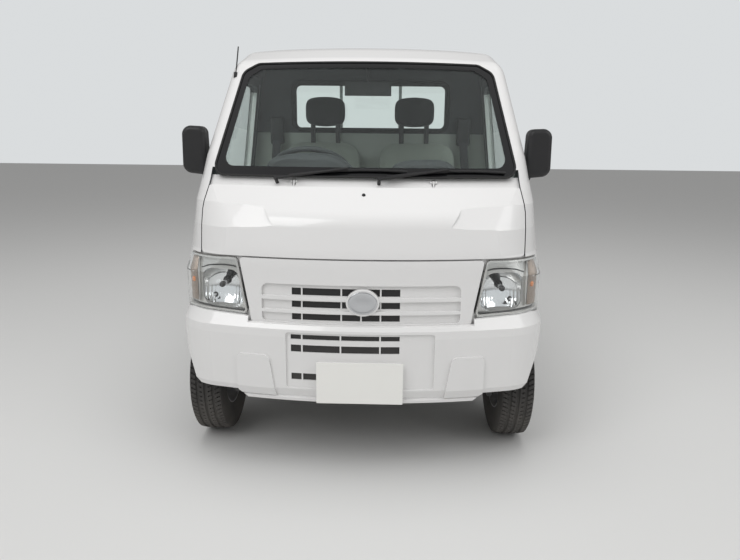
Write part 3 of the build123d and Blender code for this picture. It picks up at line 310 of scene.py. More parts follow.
def film_group():
    """Road film: 1 at the low height fading to 0 at the high one, broken up by noise."""
    tree, into, out = new_group("road film", {"Low": 0.2, "High": 0.7, "Amount": 0.5},
                                {"Mask": "NodeSocketFloat"})
    place = tree.nodes.new("ShaderNodeTexCoord")
    split = tree.nodes.new("ShaderNodeSeparateXYZ")
    noise = tree.nodes.new("ShaderNodeTexNoise")
    noise.inputs["Scale"].default_value = 7.0
    noise.inputs["Detail"].default_value = 6.0
    fade = tree.nodes.new("ShaderNodeMapRange")
    fade.inputs["To Min"].default_value, fade.inputs["To Max"].default_value = 1.0, 0.0
    patchy = tree.nodes.new("ShaderNodeMath")
    patchy.operation = "MULTIPLY"
    amount = tree.nodes.new("ShaderNodeMath")
    amount.operation = "MULTIPLY"
    joined(tree, [(place.outputs["Object"], split.inputs["Vector"]),
                  (place.outputs["Object"], noise.inputs["Vector"]),
                  (split.outputs["Z"], fade.inputs["Value"]),
                  (into.outputs["Low"], fade.inputs["From Min"]),
                  (into.outputs["High"], fade.inputs["From Max"]),
                  (fade.outputs["Result"], patchy.inputs[0]),
                  (noise.outputs["Fac"], patchy.inputs[1]), (patchy.outputs["Value"], amount.inputs[0]),
                  (into.outputs["Amount"], amount.inputs[1]),
                  (amount.outputs["Value"], out.inputs["Mask"])])
    return tree


FACING = 0.4  # a face counts as turned one way when its normal reaches this far along it
LINING_FLOOR, WALL_TOP = 1.15, 1.335  # heights in metres: lowest lined ceiling, top of the pale wall


def cabin_group():
    """Masks of a cab panel's inner faces.

    Inner faces have normals that point to the middle, down, or back ahead of the rear wall. The
    other mask is the lower part of the rear wall's own inner face, which gets painted shade.
    """
    tree, into, out = new_group("cabin side", {"Wall": at_station(1300.0)},
                                {"Inner": "NodeSocketFloat", "Rear wall": "NodeSocketFloat"})
    place = tree.nodes.new("ShaderNodeTexCoord")

    def number(operation, *sources):
        node = tree.nodes.new("ShaderNodeMath")
        node.operation = operation
        for socket, source in zip(node.inputs, sources):
            if isinstance(source, float):
                socket.default_value = source
            else:
                tree.links.new(source, socket)
        return node.outputs["Value"]

    spot, facing = tree.nodes.new("ShaderNodeSeparateXYZ"), tree.nodes.new("ShaderNodeSeparateXYZ")
    joined(tree, [(place.outputs["Object"], spot.inputs["Vector"]),
                  (place.outputs["Normal"], facing.inputs["Vector"])])
    inward = number("MULTIPLY", number("SIGN", spot.outputs["X"]), facing.outputs["X"])
    ahead = number("LESS_THAN", spot.outputs["Y"], into.outputs["Wall"])
    rearward = number("MULTIPLY", number("GREATER_THAN", facing.outputs["Y"], FACING), ahead)
    under = number("MULTIPLY", number("LESS_THAN", facing.outputs["Z"], -FACING),
                   number("GREATER_THAN", spot.outputs["Z"], LINING_FLOOR))
    inner = number("MAXIMUM", number("LESS_THAN", inward, -FACING), number("MAXIMUM", rearward, under))
    wall = number("MULTIPLY", number("LESS_THAN", facing.outputs["Y"], -FACING),
                  number("SUBTRACT", 1.0, ahead))
    low = number("LESS_THAN", spot.outputs["Z"], WALL_TOP)
    lined = number("MAXIMUM", inner, number("MULTIPLY", wall, number("SUBTRACT", 1.0, low)))
    joined(tree, [(lined, out.inputs["Inner"]), (number("MULTIPLY", wall, low), out.inputs["Rear wall"])])
    return tree


GRAIN, FILM, CABIN = grain_group(), film_group(), cabin_group()
DUST = (0.42, 0.38, 0.33, 1.0)
print("shared effects:", ", ".join(group.name for group in (GRAIN, FILM, CABIN)))


# %% [markdown]
# One recipe sets up most finishes: a base colour that dust greys near the road, a roughness that
# the same dust raises, and a grain fine enough for the stuff. The cab's steel is white outside but
# lined within, its rear wall's white darkened to grey-green inside as painted shade, and glass has
# to let the lamps' light into the cab, so those two have their own.

# %% Write the recipes for paint and glass
def finish(name, colour, rough, grain=(400.0, 0.1), dust=0.3, dust_top=0.7, metallic=0.0, coat=0.0,
           **sockets):
    """A Principled finish: base colour and roughness are mixed with road film, the normal has grain."""
    material = bpy.data.materials.new(name)
    material.use_nodes = True
    tree = material.node_tree
    shader = tree.nodes["Principled BSDF"]
    film = tree.nodes.new("ShaderNodeGroup")
    film.node_tree = FILM
    film.inputs["Low"].default_value, film.inputs["High"].default_value = 0.05, dust_top
    film.inputs["Amount"].default_value = dust
    grit = tree.nodes.new("ShaderNodeGroup")
    grit.node_tree = GRAIN
    grit.inputs["Scale"].default_value, grit.inputs["Strength"].default_value = grain
    tint = tree.nodes.new("ShaderNodeMix")
    tint.data_type = "RGBA"
    tint.inputs["A"].default_value = (*colour, 1.0)
    tint.inputs["B"].default_value = DUST
    dull = tree.nodes.new("ShaderNodeMapRange")
    dull.inputs["To Min"].default_value = rough
    dull.inputs["To Max"].default_value = min(rough + 0.45, 0.95)
    joined(tree, [(film.outputs["Mask"], tint.inputs["Factor"]),
                  (tint.outputs["Result"], shader.inputs["Base Color"]),
                  (film.outputs["Mask"], dull.inputs["Value"]),
                  (dull.outputs["Result"], shader.inputs["Roughness"]),
                  (grit.outputs["Normal"], shader.inputs["Normal"])])
    shader.inputs["Metallic"].default_value = metallic
    shader.inputs["Coat Weight"].default_value = coat
    for label, value in sockets.items():
        shader.inputs[label.replace("_", " ")].default_value = value
    return material


def cab_paint(name, trim, wall):
    """White paint with grained trim on the inner faces, and the rear wall's white darkened as painted
    shade.
    """
    material = finish(name, (0.82, 0.815, 0.81), 0.22, grain=(900.0, 0.015), dust=0.10, coat=0.6)
    tree = material.node_tree
    shader = tree.nodes["Principled BSDF"]
    cabin = tree.nodes.new("ShaderNodeGroup")
    cabin.node_tree = CABIN
    outside = shader.inputs["Base Color"].links[0].from_socket
    shine = shader.inputs["Roughness"].links[0].from_socket
    lined, wall_shade_mix = tree.nodes.new("ShaderNodeMix"), tree.nodes.new("ShaderNodeMix")
    lined.data_type = wall_shade_mix.data_type = "RGBA"
    lined.inputs["B"].default_value = (*trim, 1.0)
    # painted shade: the rear wall's white paint is given this darker grey-green colour
    wall_shade_mix.inputs["B"].default_value = (*wall, 1.0)
    dull = tree.nodes.new("ShaderNodeMix")
    dull.inputs["B"].default_value = 0.6
    coat = tree.nodes.new("ShaderNodeMapRange")
    coat.inputs["To Min"].default_value, coat.inputs["To Max"].default_value = 0.6, 0.0
    joined(tree, [(outside, lined.inputs["A"]), (cabin.outputs["Inner"], lined.inputs["Factor"]),
                  (lined.outputs["Result"], wall_shade_mix.inputs["A"]),
                  (cabin.outputs["Rear wall"], wall_shade_mix.inputs["Factor"]),
                  (wall_shade_mix.outputs["Result"], shader.inputs["Base Color"]), (shine, dull.inputs["A"]),
                  (cabin.outputs["Inner"], dull.inputs["Factor"]),
                  (dull.outputs["Result"], shader.inputs["Roughness"]),
                  (cabin.outputs["Inner"], coat.inputs["Value"]),
                  (coat.outputs["Result"], shader.inputs["Coat Weight"])])
    return material


def clear_glass(name, tint, rough=0.0):
    """Glass that bends light for the eye but lets the lamps' light straight through to the cab."""
    material = bpy.data.materials.new(name)
    material.use_nodes = True
    tree = material.node_tree
    shader = tree.nodes["Principled BSDF"]
    shader.inputs["Base Color"].default_value = (*tint, 1.0)
    shader.inputs["Roughness"].default_value = rough
    shader.inputs["Transmission Weight"].default_value = 1.0
    shader.inputs["IOR"].default_value = 1.45
    shader.inputs["Specular IOR Level"].default_value = 0.3
    grit = tree.nodes.new("ShaderNodeGroup")
    grit.node_tree = GRAIN
    grit.inputs["Scale"].default_value, grit.inputs["Strength"].default_value = 3.0, 0.004
    through = tree.nodes.new("ShaderNodeBsdfTransparent")
    through.inputs["Color"].default_value = (*tint, 1.0)
    path = tree.nodes.new("ShaderNodeLightPath")
    either = tree.nodes.new("ShaderNodeMath")
    either.operation = "MAXIMUM"
    blend = tree.nodes.new("ShaderNodeMixShader")
    output = tree.nodes["Material Output"]
    joined(tree, [(grit.outputs["Normal"], shader.inputs["Normal"]),
                  (path.outputs["Is Shadow Ray"], either.inputs[0]),
                  (path.outputs["Is Diffuse Ray"], either.inputs[1]),
                  (either.outputs["Value"], blend.inputs["Fac"]),
                  (shader.outputs["BSDF"], blend.inputs[1]), (through.outputs["BSDF"], blend.inputs[2]),
                  (blend.outputs["Shader"], output.inputs["Surface"])])
    return material


print("recipes: a painted or moulded finish, the lined cab paint and clear glass")

# %% [markdown]
# Each stuff on the truck gets one finish, named for what it is. The finishes could be made where
# they are first used, but one list keeps near tones side by side, so that the cab's white, the
# duller bed and the cream plates differ by just as much as they do on a real truck.

# %% Mix the truck's finishes
white_paint = finish("white paint", (0.82, 0.815, 0.81), 0.22, grain=(900.0, 0.015), dust=0.10, coat=0.6)
# the last colour is painted shade: the rear wall's white paint darkened to grey-green
shell_paint = cab_paint("cab paint", (0.085, 0.092, 0.097), (0.50, 0.53, 0.48))
bed_paint = finish("bed paint", (0.76, 0.77, 0.77), 0.34, grain=(600.0, 0.05), dust=0.25, dust_top=1.0,
                   coat=0.2)
satin_black = finish("satin black plastic", (0.018, 0.018, 0.019), 0.45, grain=(1500.0, 0.25), dust=0.2)
rubber = finish("rubber seal", (0.016, 0.016, 0.016), 0.62, grain=(900.0, 0.1), dust=0.15)
dash_plastic = finish("grained dash plastic", (0.055, 0.057, 0.061), 0.6, grain=(1100.0, 0.35), dust=0.0)
trim_plastic = finish("pale trim plastic", (0.42, 0.42, 0.41), 0.55, grain=(1100.0, 0.25), dust=0.0)
chassis_paint = finish("chassis black", (0.022, 0.022, 0.023), 0.5, grain=(300.0, 0.2), dust=0.5)
cast_metal = finish("cast metal", (0.30, 0.30, 0.31), 0.55, grain=(500.0, 0.5), dust=0.5, metallic=0.7)
exhaust_metal = finish("dull exhaust steel", (0.33, 0.30, 0.27), 0.5, grain=(300.0, 0.3), dust=0.4,
                       metallic=0.8)
wheel_paint = finish("silver wheel paint", (0.56, 0.57, 0.58), 0.35, grain=(900.0, 0.05), dust=0.5,
                     dust_top=0.6, metallic=0.55, coat=0.2)
tyre_rubber = finish("tyre rubber", (0.021, 0.021, 0.022), 0.72, grain=(700.0, 0.35), dust=0.35,
                     dust_top=0.45)
plate_paint = finish("blank plate enamel", (0.93, 0.925, 0.89), 0.35, grain=(700.0, 0.04), dust=0.06)
chrome = finish("lamp chrome", (0.84, 0.85, 0.86), 0.08, grain=(60.0, 0.02), dust=0.0, metallic=1.0)
grey_reflector = finish("grey lamp housing", (0.66, 0.65, 0.63), 0.24, grain=(60.0, 0.02), dust=0.0,
                        metallic=0.6)
turn_grey = finish("turn signal chamber", (0.36, 0.29, 0.24), 0.25, grain=(90.0, 0.03), dust=0.0,
                   metallic=0.5)
oval_metal = finish("brushed oval", (0.62, 0.63, 0.65), 0.22, grain=(900.0, 0.08), dust=0.05, metallic=0.9)
screen_glass = clear_glass("window glass", (0.90, 0.95, 0.93))
lens_glass = clear_glass("lamp lens", (0.97, 0.98, 0.98))
frit_black = finish("black screen border", (0.006, 0.006, 0.007), 0.12, grain=(500.0, 0.02), dust=0.0,
                    coat=0.5)
seat_cloth = finish("grey seat cloth", (0.42, 0.44, 0.40), 0.9, grain=(1300.0, 0.6), dust=0.0,
                    Sheen_Weight=0.4)
dark_cloth = finish("dark seat cloth", (0.035, 0.035, 0.038), 0.9, grain=(1300.0, 0.6), dust=0.0,
                    Sheen_Weight=0.3)
red_lens = finish("red lamp lens", (0.45, 0.012, 0.012), 0.12, grain=(120.0, 0.05), dust=0.15, coat=0.8)
amber_lens = finish("amber lamp lens", (0.75, 0.20, 0.01), 0.12, grain=(120.0, 0.05), dust=0.15, coat=0.8)
clear_lens = finish("milky lamp lens", (0.72, 0.73, 0.74), 0.15, grain=(120.0, 0.05), dust=0.15, coat=0.8)
belt_web = finish("belt webbing", (0.045, 0.045, 0.05), 0.8, grain=(1600.0, 0.5), dust=0.0,
                  Sheen_Weight=0.2)
card_vinyl = finish("door card vinyl", (0.17, 0.175, 0.18), 0.65, grain=(1200.0, 0.35), dust=0.0)
visor_cloth = finish("visor vinyl", (0.10, 0.105, 0.11), 0.7, grain=(1200.0, 0.3), dust=0.0)
bright_metal = finish("zinc fittings", (0.55, 0.55, 0.54), 0.32, grain=(600.0, 0.1), dust=0.3, metallic=0.9)

print("finishes mixed:", len(bpy.data.materials))

# %% [markdown]
# Every piece of the frame carries the name of its stuff, such as body paint or black plastic. Each
# could be painted one at a time, but a table from stuff to finish paints them all at once. Two
# short sets then pick out the bed, which is duller, and the cab's panels, which are lined inside.

# %% Paint the pieces that came with the frame
SLOT_FINISH = {
    "body_paint": white_paint, "glass": screen_glass, "lamp_lens": lens_glass,
    "lamp_reflector": grey_reflector,
    "black_plastic": satin_black, "interior_plastic": dash_plastic, "seat_fabric": seat_cloth,
    "plate_white": plate_paint,
    "chassis_black": chassis_paint, "engine_metal": cast_metal, "exhaust_steel": exhaust_metal,
    "tail_lens": red_lens, "tyre_rubber": tyre_rubber, "rim_steel": wheel_paint,
}
BED_NODES = {"bed_floor", "bed_frame", "headboard", "side_gate_left", "side_gate_right", "tailgate"}
CAB_NODES = {"roof", "cab_back", "cab_front", "side_frame_left", "side_frame_right", "door_left",
             "door_right"}


def paint(node, material):
    """Put one material on a whole piece of the frame."""
    mesh = nodes[node].data
    mesh.materials.clear()
    mesh.materials.append(material)


for subpart in frame["record"]["subparts"]:
    node = subpart["node"]
    common = SLOT_FINISH[subpart["material_slot"]]
    paint(node, bed_paint if node in BED_NODES else shell_paint if node in CAB_NODES else common)
paint("tail_lamps", satin_black)
paint("cab_floor", trim_plastic)
print("finishes:", len(bpy.data.materials), "on", len(nodes), "pieces of the frame")

# %% [markdown]
# A windscreen's edge is printed black where the glue holds it, and a rubber gasket fills the gap
# round it. The border could be a pattern in the glass, but a thin band between two rounded
# outlines, laid on the bowed outer face, keeps a sharp edge at any distance.

# %% Windscreen border and gasket
SCREEN_OUTER = [(634.0, 1150.0), (574.0, 1598.0), (505.0, 1636.0)]
SCREEN_INNER = [(592.0, 1186.0), (543.0, 1572.0), (483.0, 1609.0)]


def both_sides(half):
    """Right-hand corners joined with their mirror images, going round the outline."""
    return half + [(-x, z) for x, z in reversed(half)]


def fine_loop(corners, radii, spans=14):
    """An outline's arcs and straight runs with every run divided evenly."""
    loop = rounded_outline(corners, radii)
    t = np.linspace(0, 1, spans, endpoint=False)[None, :, None]
    return (loop[:, None] * (1 - t) + np.roll(loop, -1, axis=0)[:, None] * t).reshape(-1, 2)


outer = fine_loop(both_sides(SCREEN_OUTER), 45.0)
inner = fine_loop(both_sides(SCREEN_INNER), 40.0)
across = np.linspace(0, 1, 5)[:, None, None]
flat_band = outer[None] * (1 - across) + inner[None] * across
band = on_front(flat_band[..., 0], flat_band[..., 1], 4.4)
add_piece("screen_border", [grid_patch(band, round_v=True)], frit_black, "chassis",
          closed=False)
gasket_path = on_front(outer[:, 0], outer[:, 1], 2.0)
add_piece("screen_gasket", [swept(gasket_path, 5 * MM, 3.5 * MM, 8, closed=True, facing=(0, -0.76, 0.65))],
          rubber, "chassis")
print("windscreen border:", band.shape[1], "points round")

# %% [markdown]
# The rear window sits in a fat rubber moulding that grips the steel on both sides of the wall.
# One thick ring could run through the wall, but two oval bars, one on each side, leave the pane
# and the steel between them as they are.

# %% Rear window moulding
rear_loop = fine_loop([(430.0, 1352.0), (430.0, 1606.0), (-430.0, 1606.0), (-430.0, 1352.0)], 40.0, 4)
rear_path = np.stack([rear_loop[:, 0] * MM, np.full(len(rear_loop), at_station(1374.0)),
                      rear_loop[:, 1] * MM], axis=1)
inner_path = rear_path - np.array([0, 46 * MM, 0])
add_piece("rear_window_moulding", [swept(rear_path, 13 * MM, 7 * MM, 10, True, (0, 1, 0)),
                                   swept(inner_path, 13 * MM, 7 * MM, 10, True, (0, 1, 0))], rubber,
          "chassis")
print("rear window moulding:", len(rear_loop), "points round, on both sides of the wall")

# %% [markdown]
# Each door's window has a rubber channel round its pane. A flat ring would be simpler, but it
# would stand off the leaning flank, so the channel is swept along an outline whose half width
# comes from the cab's own flank profile.

# %% Side window channels
WINDOW = [(534.0, 1140.0), (1222.0, 1118.0), (1222.0, 1570.0), (870.0, 1570.0)]
window_loop = fine_loop(WINDOW, [30.0, 40.0, 50.0, 50.0], 6)
for name, side in SIDES:
    channel = on_flank(side, window_loop[:, 0], window_loop[:, 1], 6.0)
    add_piece(f"window_channel_{name}", [swept(channel, 8 * MM, 7 * MM, 8, True, (1, 0, 0))], rubber,
              f"door_{name}")
print("side window channels:", len(window_loop), "points round each pane")

# %% [markdown]
# A light truck's tyre has ribs split by long grooves and short slanted cuts. Its blocks could be
# modelled and repeated round the wheel, but turning one closed section and lowering the crown
# where grooves and cuts pass gives the same tread in a single even grid.

# %% Treaded tyres
TYRE_RADIUS, TYRE_HALF, BEAD_RADIUS, RIM_HALF = 0.271, 0.0725, 0.158, 0.056
SHOULDER, WALL_SHARE, BULGE, TREAD_DEPTH = 0.58, 0.42, 0.009, 0.006  # shares of v, then metres
TRACK_HALF, FRONT_AXLE, REAR_AXLE = 0.65, at_station(445.0), at_station(2865.0)


def tyre_patch(centre, side):
    """Half width x(v) and radius r(v) turned by u; the crown sinks by grooves in v and cuts in u."""
    v = np.linspace(-1, 1, 61)
    half = np.where(np.abs(v) < SHOULDER, v / SHOULDER * (TYRE_HALF - BULGE),
                    np.sign(v) * (TYRE_HALF - BULGE))
    wall = np.clip((np.abs(v) - SHOULDER) / WALL_SHARE, 0, 1)
    bulge = np.sin(wall * math.pi) ** 0.7 * BULGE
    half = half + np.sign(v) * (bulge - wall**2 * (TYRE_HALF - BULGE - RIM_HALF))
    radius = np.where(wall > 0, TYRE_RADIUS - 0.006 - wall * (TYRE_RADIUS - 0.006 - BEAD_RADIUS),
                      TYRE_RADIUS - 0.0055 * np.abs(v / SHOULDER) ** 3.0)
    u = np.linspace(0, 2 * math.pi, 640, endpoint=False)
    tread = (np.abs(v) < 0.56)[None, :]
    grooves = np.any(np.abs(v[:, None] - np.array([-0.30, 0.0, 0.30])) < 0.035, axis=1)[None, :]
    slant = (u[:, None] * 40 / math.pi + np.sign(v)[None, :] * 0.4 + np.abs(v)[None, :] * 2.2) % 1.0 < 0.16
    cuts = slant & (np.abs(v) > 0.12)[None, :]
    sink = np.where(tread & (grooves | cuts), TREAD_DEPTH, 0.0)
    ribs = np.where((np.abs(wall - 0.62) < 0.03)[None, :], -0.0012, 0.0)
    reach = radius[None, :] - sink - ribs * 0.3
    x = centre[0] + side * np.broadcast_to(half, reach.shape)
    points = np.stack([x, centre[1] + reach * np.cos(u)[:, None], centre[2] + reach * np.sin(u)[:, None]],
                      axis=-1)
    return grid_patch(points, round_u=True, round_v=True)


WHEELS = {"front_left": (1, FRONT_AXLE), "front_right": (-1, FRONT_AXLE), "rear_left": (1, REAR_AXLE),
          "rear_right": (-1, REAR_AXLE)}
for name, (side, y) in WHEELS.items():
    tyre = add_piece(f"tread_tyre_{name}", [tyre_patch((side * TRACK_HALF, y, TYRE_RADIUS), side)],
                     tyre_rubber, f"wheel_{name}", sharp=28.0)
    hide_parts(f"tyre_{name}")
print("tread depth", TREAD_DEPTH / MM, "mm on", len(WHEELS), "tyres")

# %% [markdown]
# Steel wheels on such a truck carry four nuts round a plain hub cap. A nut could be a bare
# six-sided prism, but a stack of hexagons drawn in at the top has the small chamfer that catches
# the light, and the cap is one turned profile.

# %% Wheel nuts and hub caps
hexagon = rounded_outline(np.stack([np.cos(np.arange(6) * math.pi / 3), np.sin(np.arange(6) * math.pi / 3)],
                                   axis=1)
                          * 0.0105, 0.001, 3)
for name, (side, y) in WHEELS.items():
    face = side * (TRACK_HALF + 0.034)
    patches = []
    for turn in range(4):
        angle = math.pi / 4 + turn * math.pi / 2
        centre = (face, y + 0.05 * math.cos(angle), TYRE_RADIUS + 0.05 * math.sin(angle))
        patches.append(stacked(hexagon, [(0, 0), (0.012, 0), (0.015, 0.0022)], centre, (0, side, 0),
                               (0, 0, 1)))
    add_piece(f"wheel_nuts_{name}", patches, bright_metal, f"wheel_{name}")
    cap = [(TIP, 0.052), (0.018, 0.051), (0.027, 0.046), (0.031, 0.034), (0.032, 0.018), (TIP, 0.018)]
    add_piece(f"hub_cap_{name}", [turned(cap, (side * (TRACK_HALF + 0.006), y, TYRE_RADIUS), (side, 0, 0))],
              wheel_paint, f"wheel_{name}")
print("wheel nuts:", 4 * len(WHEELS), "round", len(WHEELS), "hub caps")

# %% [markdown]
# Seats are padded: a cloth cover is stretched over foam. A pad could be a box with bevelled edges,
# but that looks hard. Here it starts as a rounded box with a crowned face and sewn channels, and a
# short cloth simulation then blows the cover tight over the filling.

# %% Shape the padding
SEAT_X, SEAT_HALF = 0.262, 0.216


def rounded_box(low, high, power=6.0, crown=0.012, columns=64, rows=40):
    """A superellipsoid: x, y and z each are a half size times a cosine or sine kept to 2/power."""
    low, high = np.asarray(low), np.asarray(high)
    u = np.linspace(0, 2 * math.pi, columns, endpoint=False)[None, :]
    v = np.linspace(-math.pi / 2, math.pi / 2, rows)[:, None]

    def kept(value):
        return np.sign(value) * np.abs(value) ** (2 / power)

    unit_box = np.stack([kept(np.cos(v)) * kept(np.cos(u)), kept(np.cos(v)) * kept(np.sin(u)),
                         kept(np.sin(v)) * np.ones_like(u)], axis=-1)
    swell = (1 - unit_box[..., 0] ** 2) * (1 - unit_box[..., 1] ** 2)
    points = (low + high) / 2 + unit_box * (high - low) / 2
    points[..., 2] += crown * swell * (unit_box[..., 2] > 0)
    return points


def inflated(piece, voxel, reach):
    """Cloth blown up by pressure for twenty frames, with no point moving further than the reach."""
    cover = piece.data.materials[0]
    remesh = piece.modifiers.new("even mesh", "REMESH")
    remesh.mode, remesh.voxel_size = "VOXEL", voxel
    bpy.context.view_layer.update()
    evaluated = piece.evaluated_get(bpy.context.evaluated_depsgraph_get())
    even = bpy.data.meshes.new_from_object(evaluated)
    piece.modifiers.clear()
    piece.data = even
    start = np.empty(len(even.vertices) * 3)
    even.vertices.foreach_get("co", start)
    cloth = piece.modifiers.new("cover", "CLOTH")
    cloth.settings.use_pressure = True
    cloth.settings.uniform_pressure_force = 4.0
    cloth.settings.effector_weights.gravity = 0.0
    cloth.settings.tension_stiffness, cloth.settings.bending_stiffness = 20.0, 1.0
    for number in range(1, 21):
        bpy.context.scene.frame_set(number)
    blown = piece.evaluated_get(bpy.context.evaluated_depsgraph_get()).to_mesh()
    moved = np.empty_like(start)
    blown.vertices.foreach_get("co", moved)
    step = (moved - start).reshape(-1, 3)
    length = np.linalg.norm(step, axis=1, keepdims=True)
    step *= np.minimum(1.0, reach / np.maximum(length, 1e-9))
    piece.modifiers.clear()
    even.vertices.foreach_set("co", (start.reshape(-1, 3) + step).ravel())
    even.polygons.foreach_set("use_smooth", np.ones(len(even.polygons), dtype=bool))
    even.materials.clear()
    even.materials.append(cover)
    even.update()
    bpy.context.scene.frame_set(1)


def leaned(points, angle, pivot):
    """Points turned about an X line through the pivot by an angle."""
    y, z = points[..., 1] - pivot[0], points[..., 2] - pivot[1]
    turned_y = y * math.cos(angle) - z * math.sin(angle) + pivot[0]
    turned_z = y * math.sin(angle) + z * math.cos(angle) + pivot[1]
    return np.stack([points[..., 0], turned_y, turned_z], axis=-1)


def welted(points, depth=0.010, width=0.012, seams=(-0.42, 0.42), low_x=0.0, high_x=1.0):
    """Sewn channels: the pad's faces sink by a bell curve wherever x crosses a seam."""
    share = (points[..., 0] - (low_x + high_x) / 2) / ((high_x - low_x) / 2)
    sink = sum(np.exp(-((share - seam) * (high_x - low_x) / 2 / width) ** 2) for seam in seams)
    return points - np.stack([0 * share, 0 * share, depth * sink], axis=-1)


print("seat pads are centred", SEAT_X, "m from the middle of the cab")

# %% [markdown]
# Each seat has a cushion, a back that leans a little and a headrest on two flat posts. They could
# be one block, but the gaps between them are what makes a seat read as a seat, so each is a cover
# of its own that stands for the plain form in the frame.

# %% Seat pads
for name, side in SIDES:
    x0, x1 = side * SEAT_X - SEAT_HALF, side * SEAT_X + SEAT_HALF
    cushion = rounded_box((x0, at_station(862), 0.712), (x1, at_station(1240), 0.828))
    cushion = welted(cushion, low_x=x0, high_x=x1)
    pad = add_piece(f"cushion_pad_{name}", [grid_patch(cushion, round_v=True)], seat_cloth, "chassis",
                    180)
    inflated(pad, 0.007, 0.008)
    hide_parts("seat_cushions")
    back = rounded_box((x0, at_station(1196), 0.846), (x1, at_station(1296), 1.286), power=5.0, crown=0.008)
    back = leaned(back, math.radians(-2.0), (at_station(1246), 0.84))
    pad = add_piece(f"back_pad_{name}", [grid_patch(back, round_v=True)], seat_cloth, "chassis",
                    180)
    inflated(pad, 0.007, 0.008)
    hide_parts("seat_backs")
    x = side * 0.242
    rest_pad = rounded_box((x - 0.107, at_station(1200), 1.372), (x + 0.107, at_station(1276), 1.520),
                           power=4.0, crown=0.0)
    pad = add_piece(f"headrest_pad_{name}", [grid_patch(rest_pad, round_v=True)], dark_cloth, "chassis",
                    180)
    inflated(pad, 0.006, 0.006)
    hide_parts("headrests")
    posts = []
    for offset in (-0.068, 0.068):
        outline = rounded_outline([(-0.013, -0.006), (0.013, -0.006), (0.013, 0.006), (-0.013, 0.006)],
                                  0.003, 4)
        posts.append(stacked(outline, [(0, 0), (0.115, 0)], (x + offset, at_station(1238), 1.275),
                             (1, 0, 0), (0, 1, 0)))
    add_piece(f"headrest_posts_{name}", posts, satin_black, "chassis")
print("seat pads:", 3 * len(SIDES), "covers, with flat posts under the headrests")

# %% [markdown]
# A multi-reflector headlamp is a chromed dish sunk in a grey tray, fluted across its lower half so
# that the beam spreads. Flutes could be left to a bump, but they bend the mirror image too little,
# so the dish is the sphere of the housing with cosine flutes laid on it as real form.

# %% Lamp dishes
TRAY = 18.3
DISH_CENTRE, DISH_RADIUS = (548.0, 110.0, 722.0), 118.0
DISH_CORNERS = [(632.0, 650.0), (632.0, 798.0), (478.0, 798.0), (452.0, 644.0)]


def dish_station(x, z):
    """The housing's sphere behind (x, z), or the tray's floor where that lies further back."""
    sphere = DISH_CENTRE[1] + np.sqrt(np.maximum(DISH_RADIUS**2 - (x - DISH_CENTRE[0]) ** 2
                                                 - (z - DISH_CENTRE[2]) ** 2, 0.0))
    tray = (on_front(x, z, TRAY)[..., 1] + LENGTH / 2) / MM
    return np.maximum(sphere, tray)


def dish_patch(side):
    """Rings drawn in from the dish's rounded corners to its middle; flutes are a cosine across x."""
    rim = fine_loop(DISH_CORNERS, 42.0, 6) - DISH_CENTRE[::2]
    share = np.linspace(0.985, 0.02, 40)[:, None, None]
    x, z = np.moveaxis(rim * share + DISH_CENTRE[::2], -1, 0)
    low_half = np.clip((730 - z) / 25, 0, 1) * np.clip((1 - share[..., 0]) * 12, 0, 1)
    flute = 0.6 * low_half * (1 + np.cos(x * 2 * math.pi / 13.0))
    y = at_station(dish_station(x, z) - 0.7 - flute)
    return grid_patch(np.stack([side * x * MM, y, z * MM], axis=-1), round_v=True)


for name, side in SIDES:
    add_piece(f"lamp_dish_{name}", [dish_patch(side)], chrome, "chassis", closed=False)
print("lamp dishes reach back to station", round(float(dish_station(*np.array(DISH_CENTRE[::2])))), "mm")

# %% [markdown]
# Inside the dish stand the bulb in its dark socket and the small position lamp. A dark strip
# borders the tray, a hood line runs over the dish, and a wall parts off the turn signal's chamber.
# All could be guessed flat, but seen through the lens they need depth, so each is turned about its
# own axis or swept along a path that lies a set depth under the cab's skin.

# %% Bulbs, hoods and dividers of the lamps
BULB_AT, PARK_AT = np.array([548.0, 735.0]), np.array([593.0, 679.0])


def tray_path(corners, depth, steps=10):
    """A smooth path through (x, z) corners, lying this deep under the cab's skin."""
    flat = smooth_path(corners, steps)
    return on_front(flat[:, 0], flat[:, 1], depth)


def flipped(patch, side):
    """The patch itself on the left, or its mirror image on the right."""
    points, faces = patch
    return points * np.array([side, 1, 1]), faces


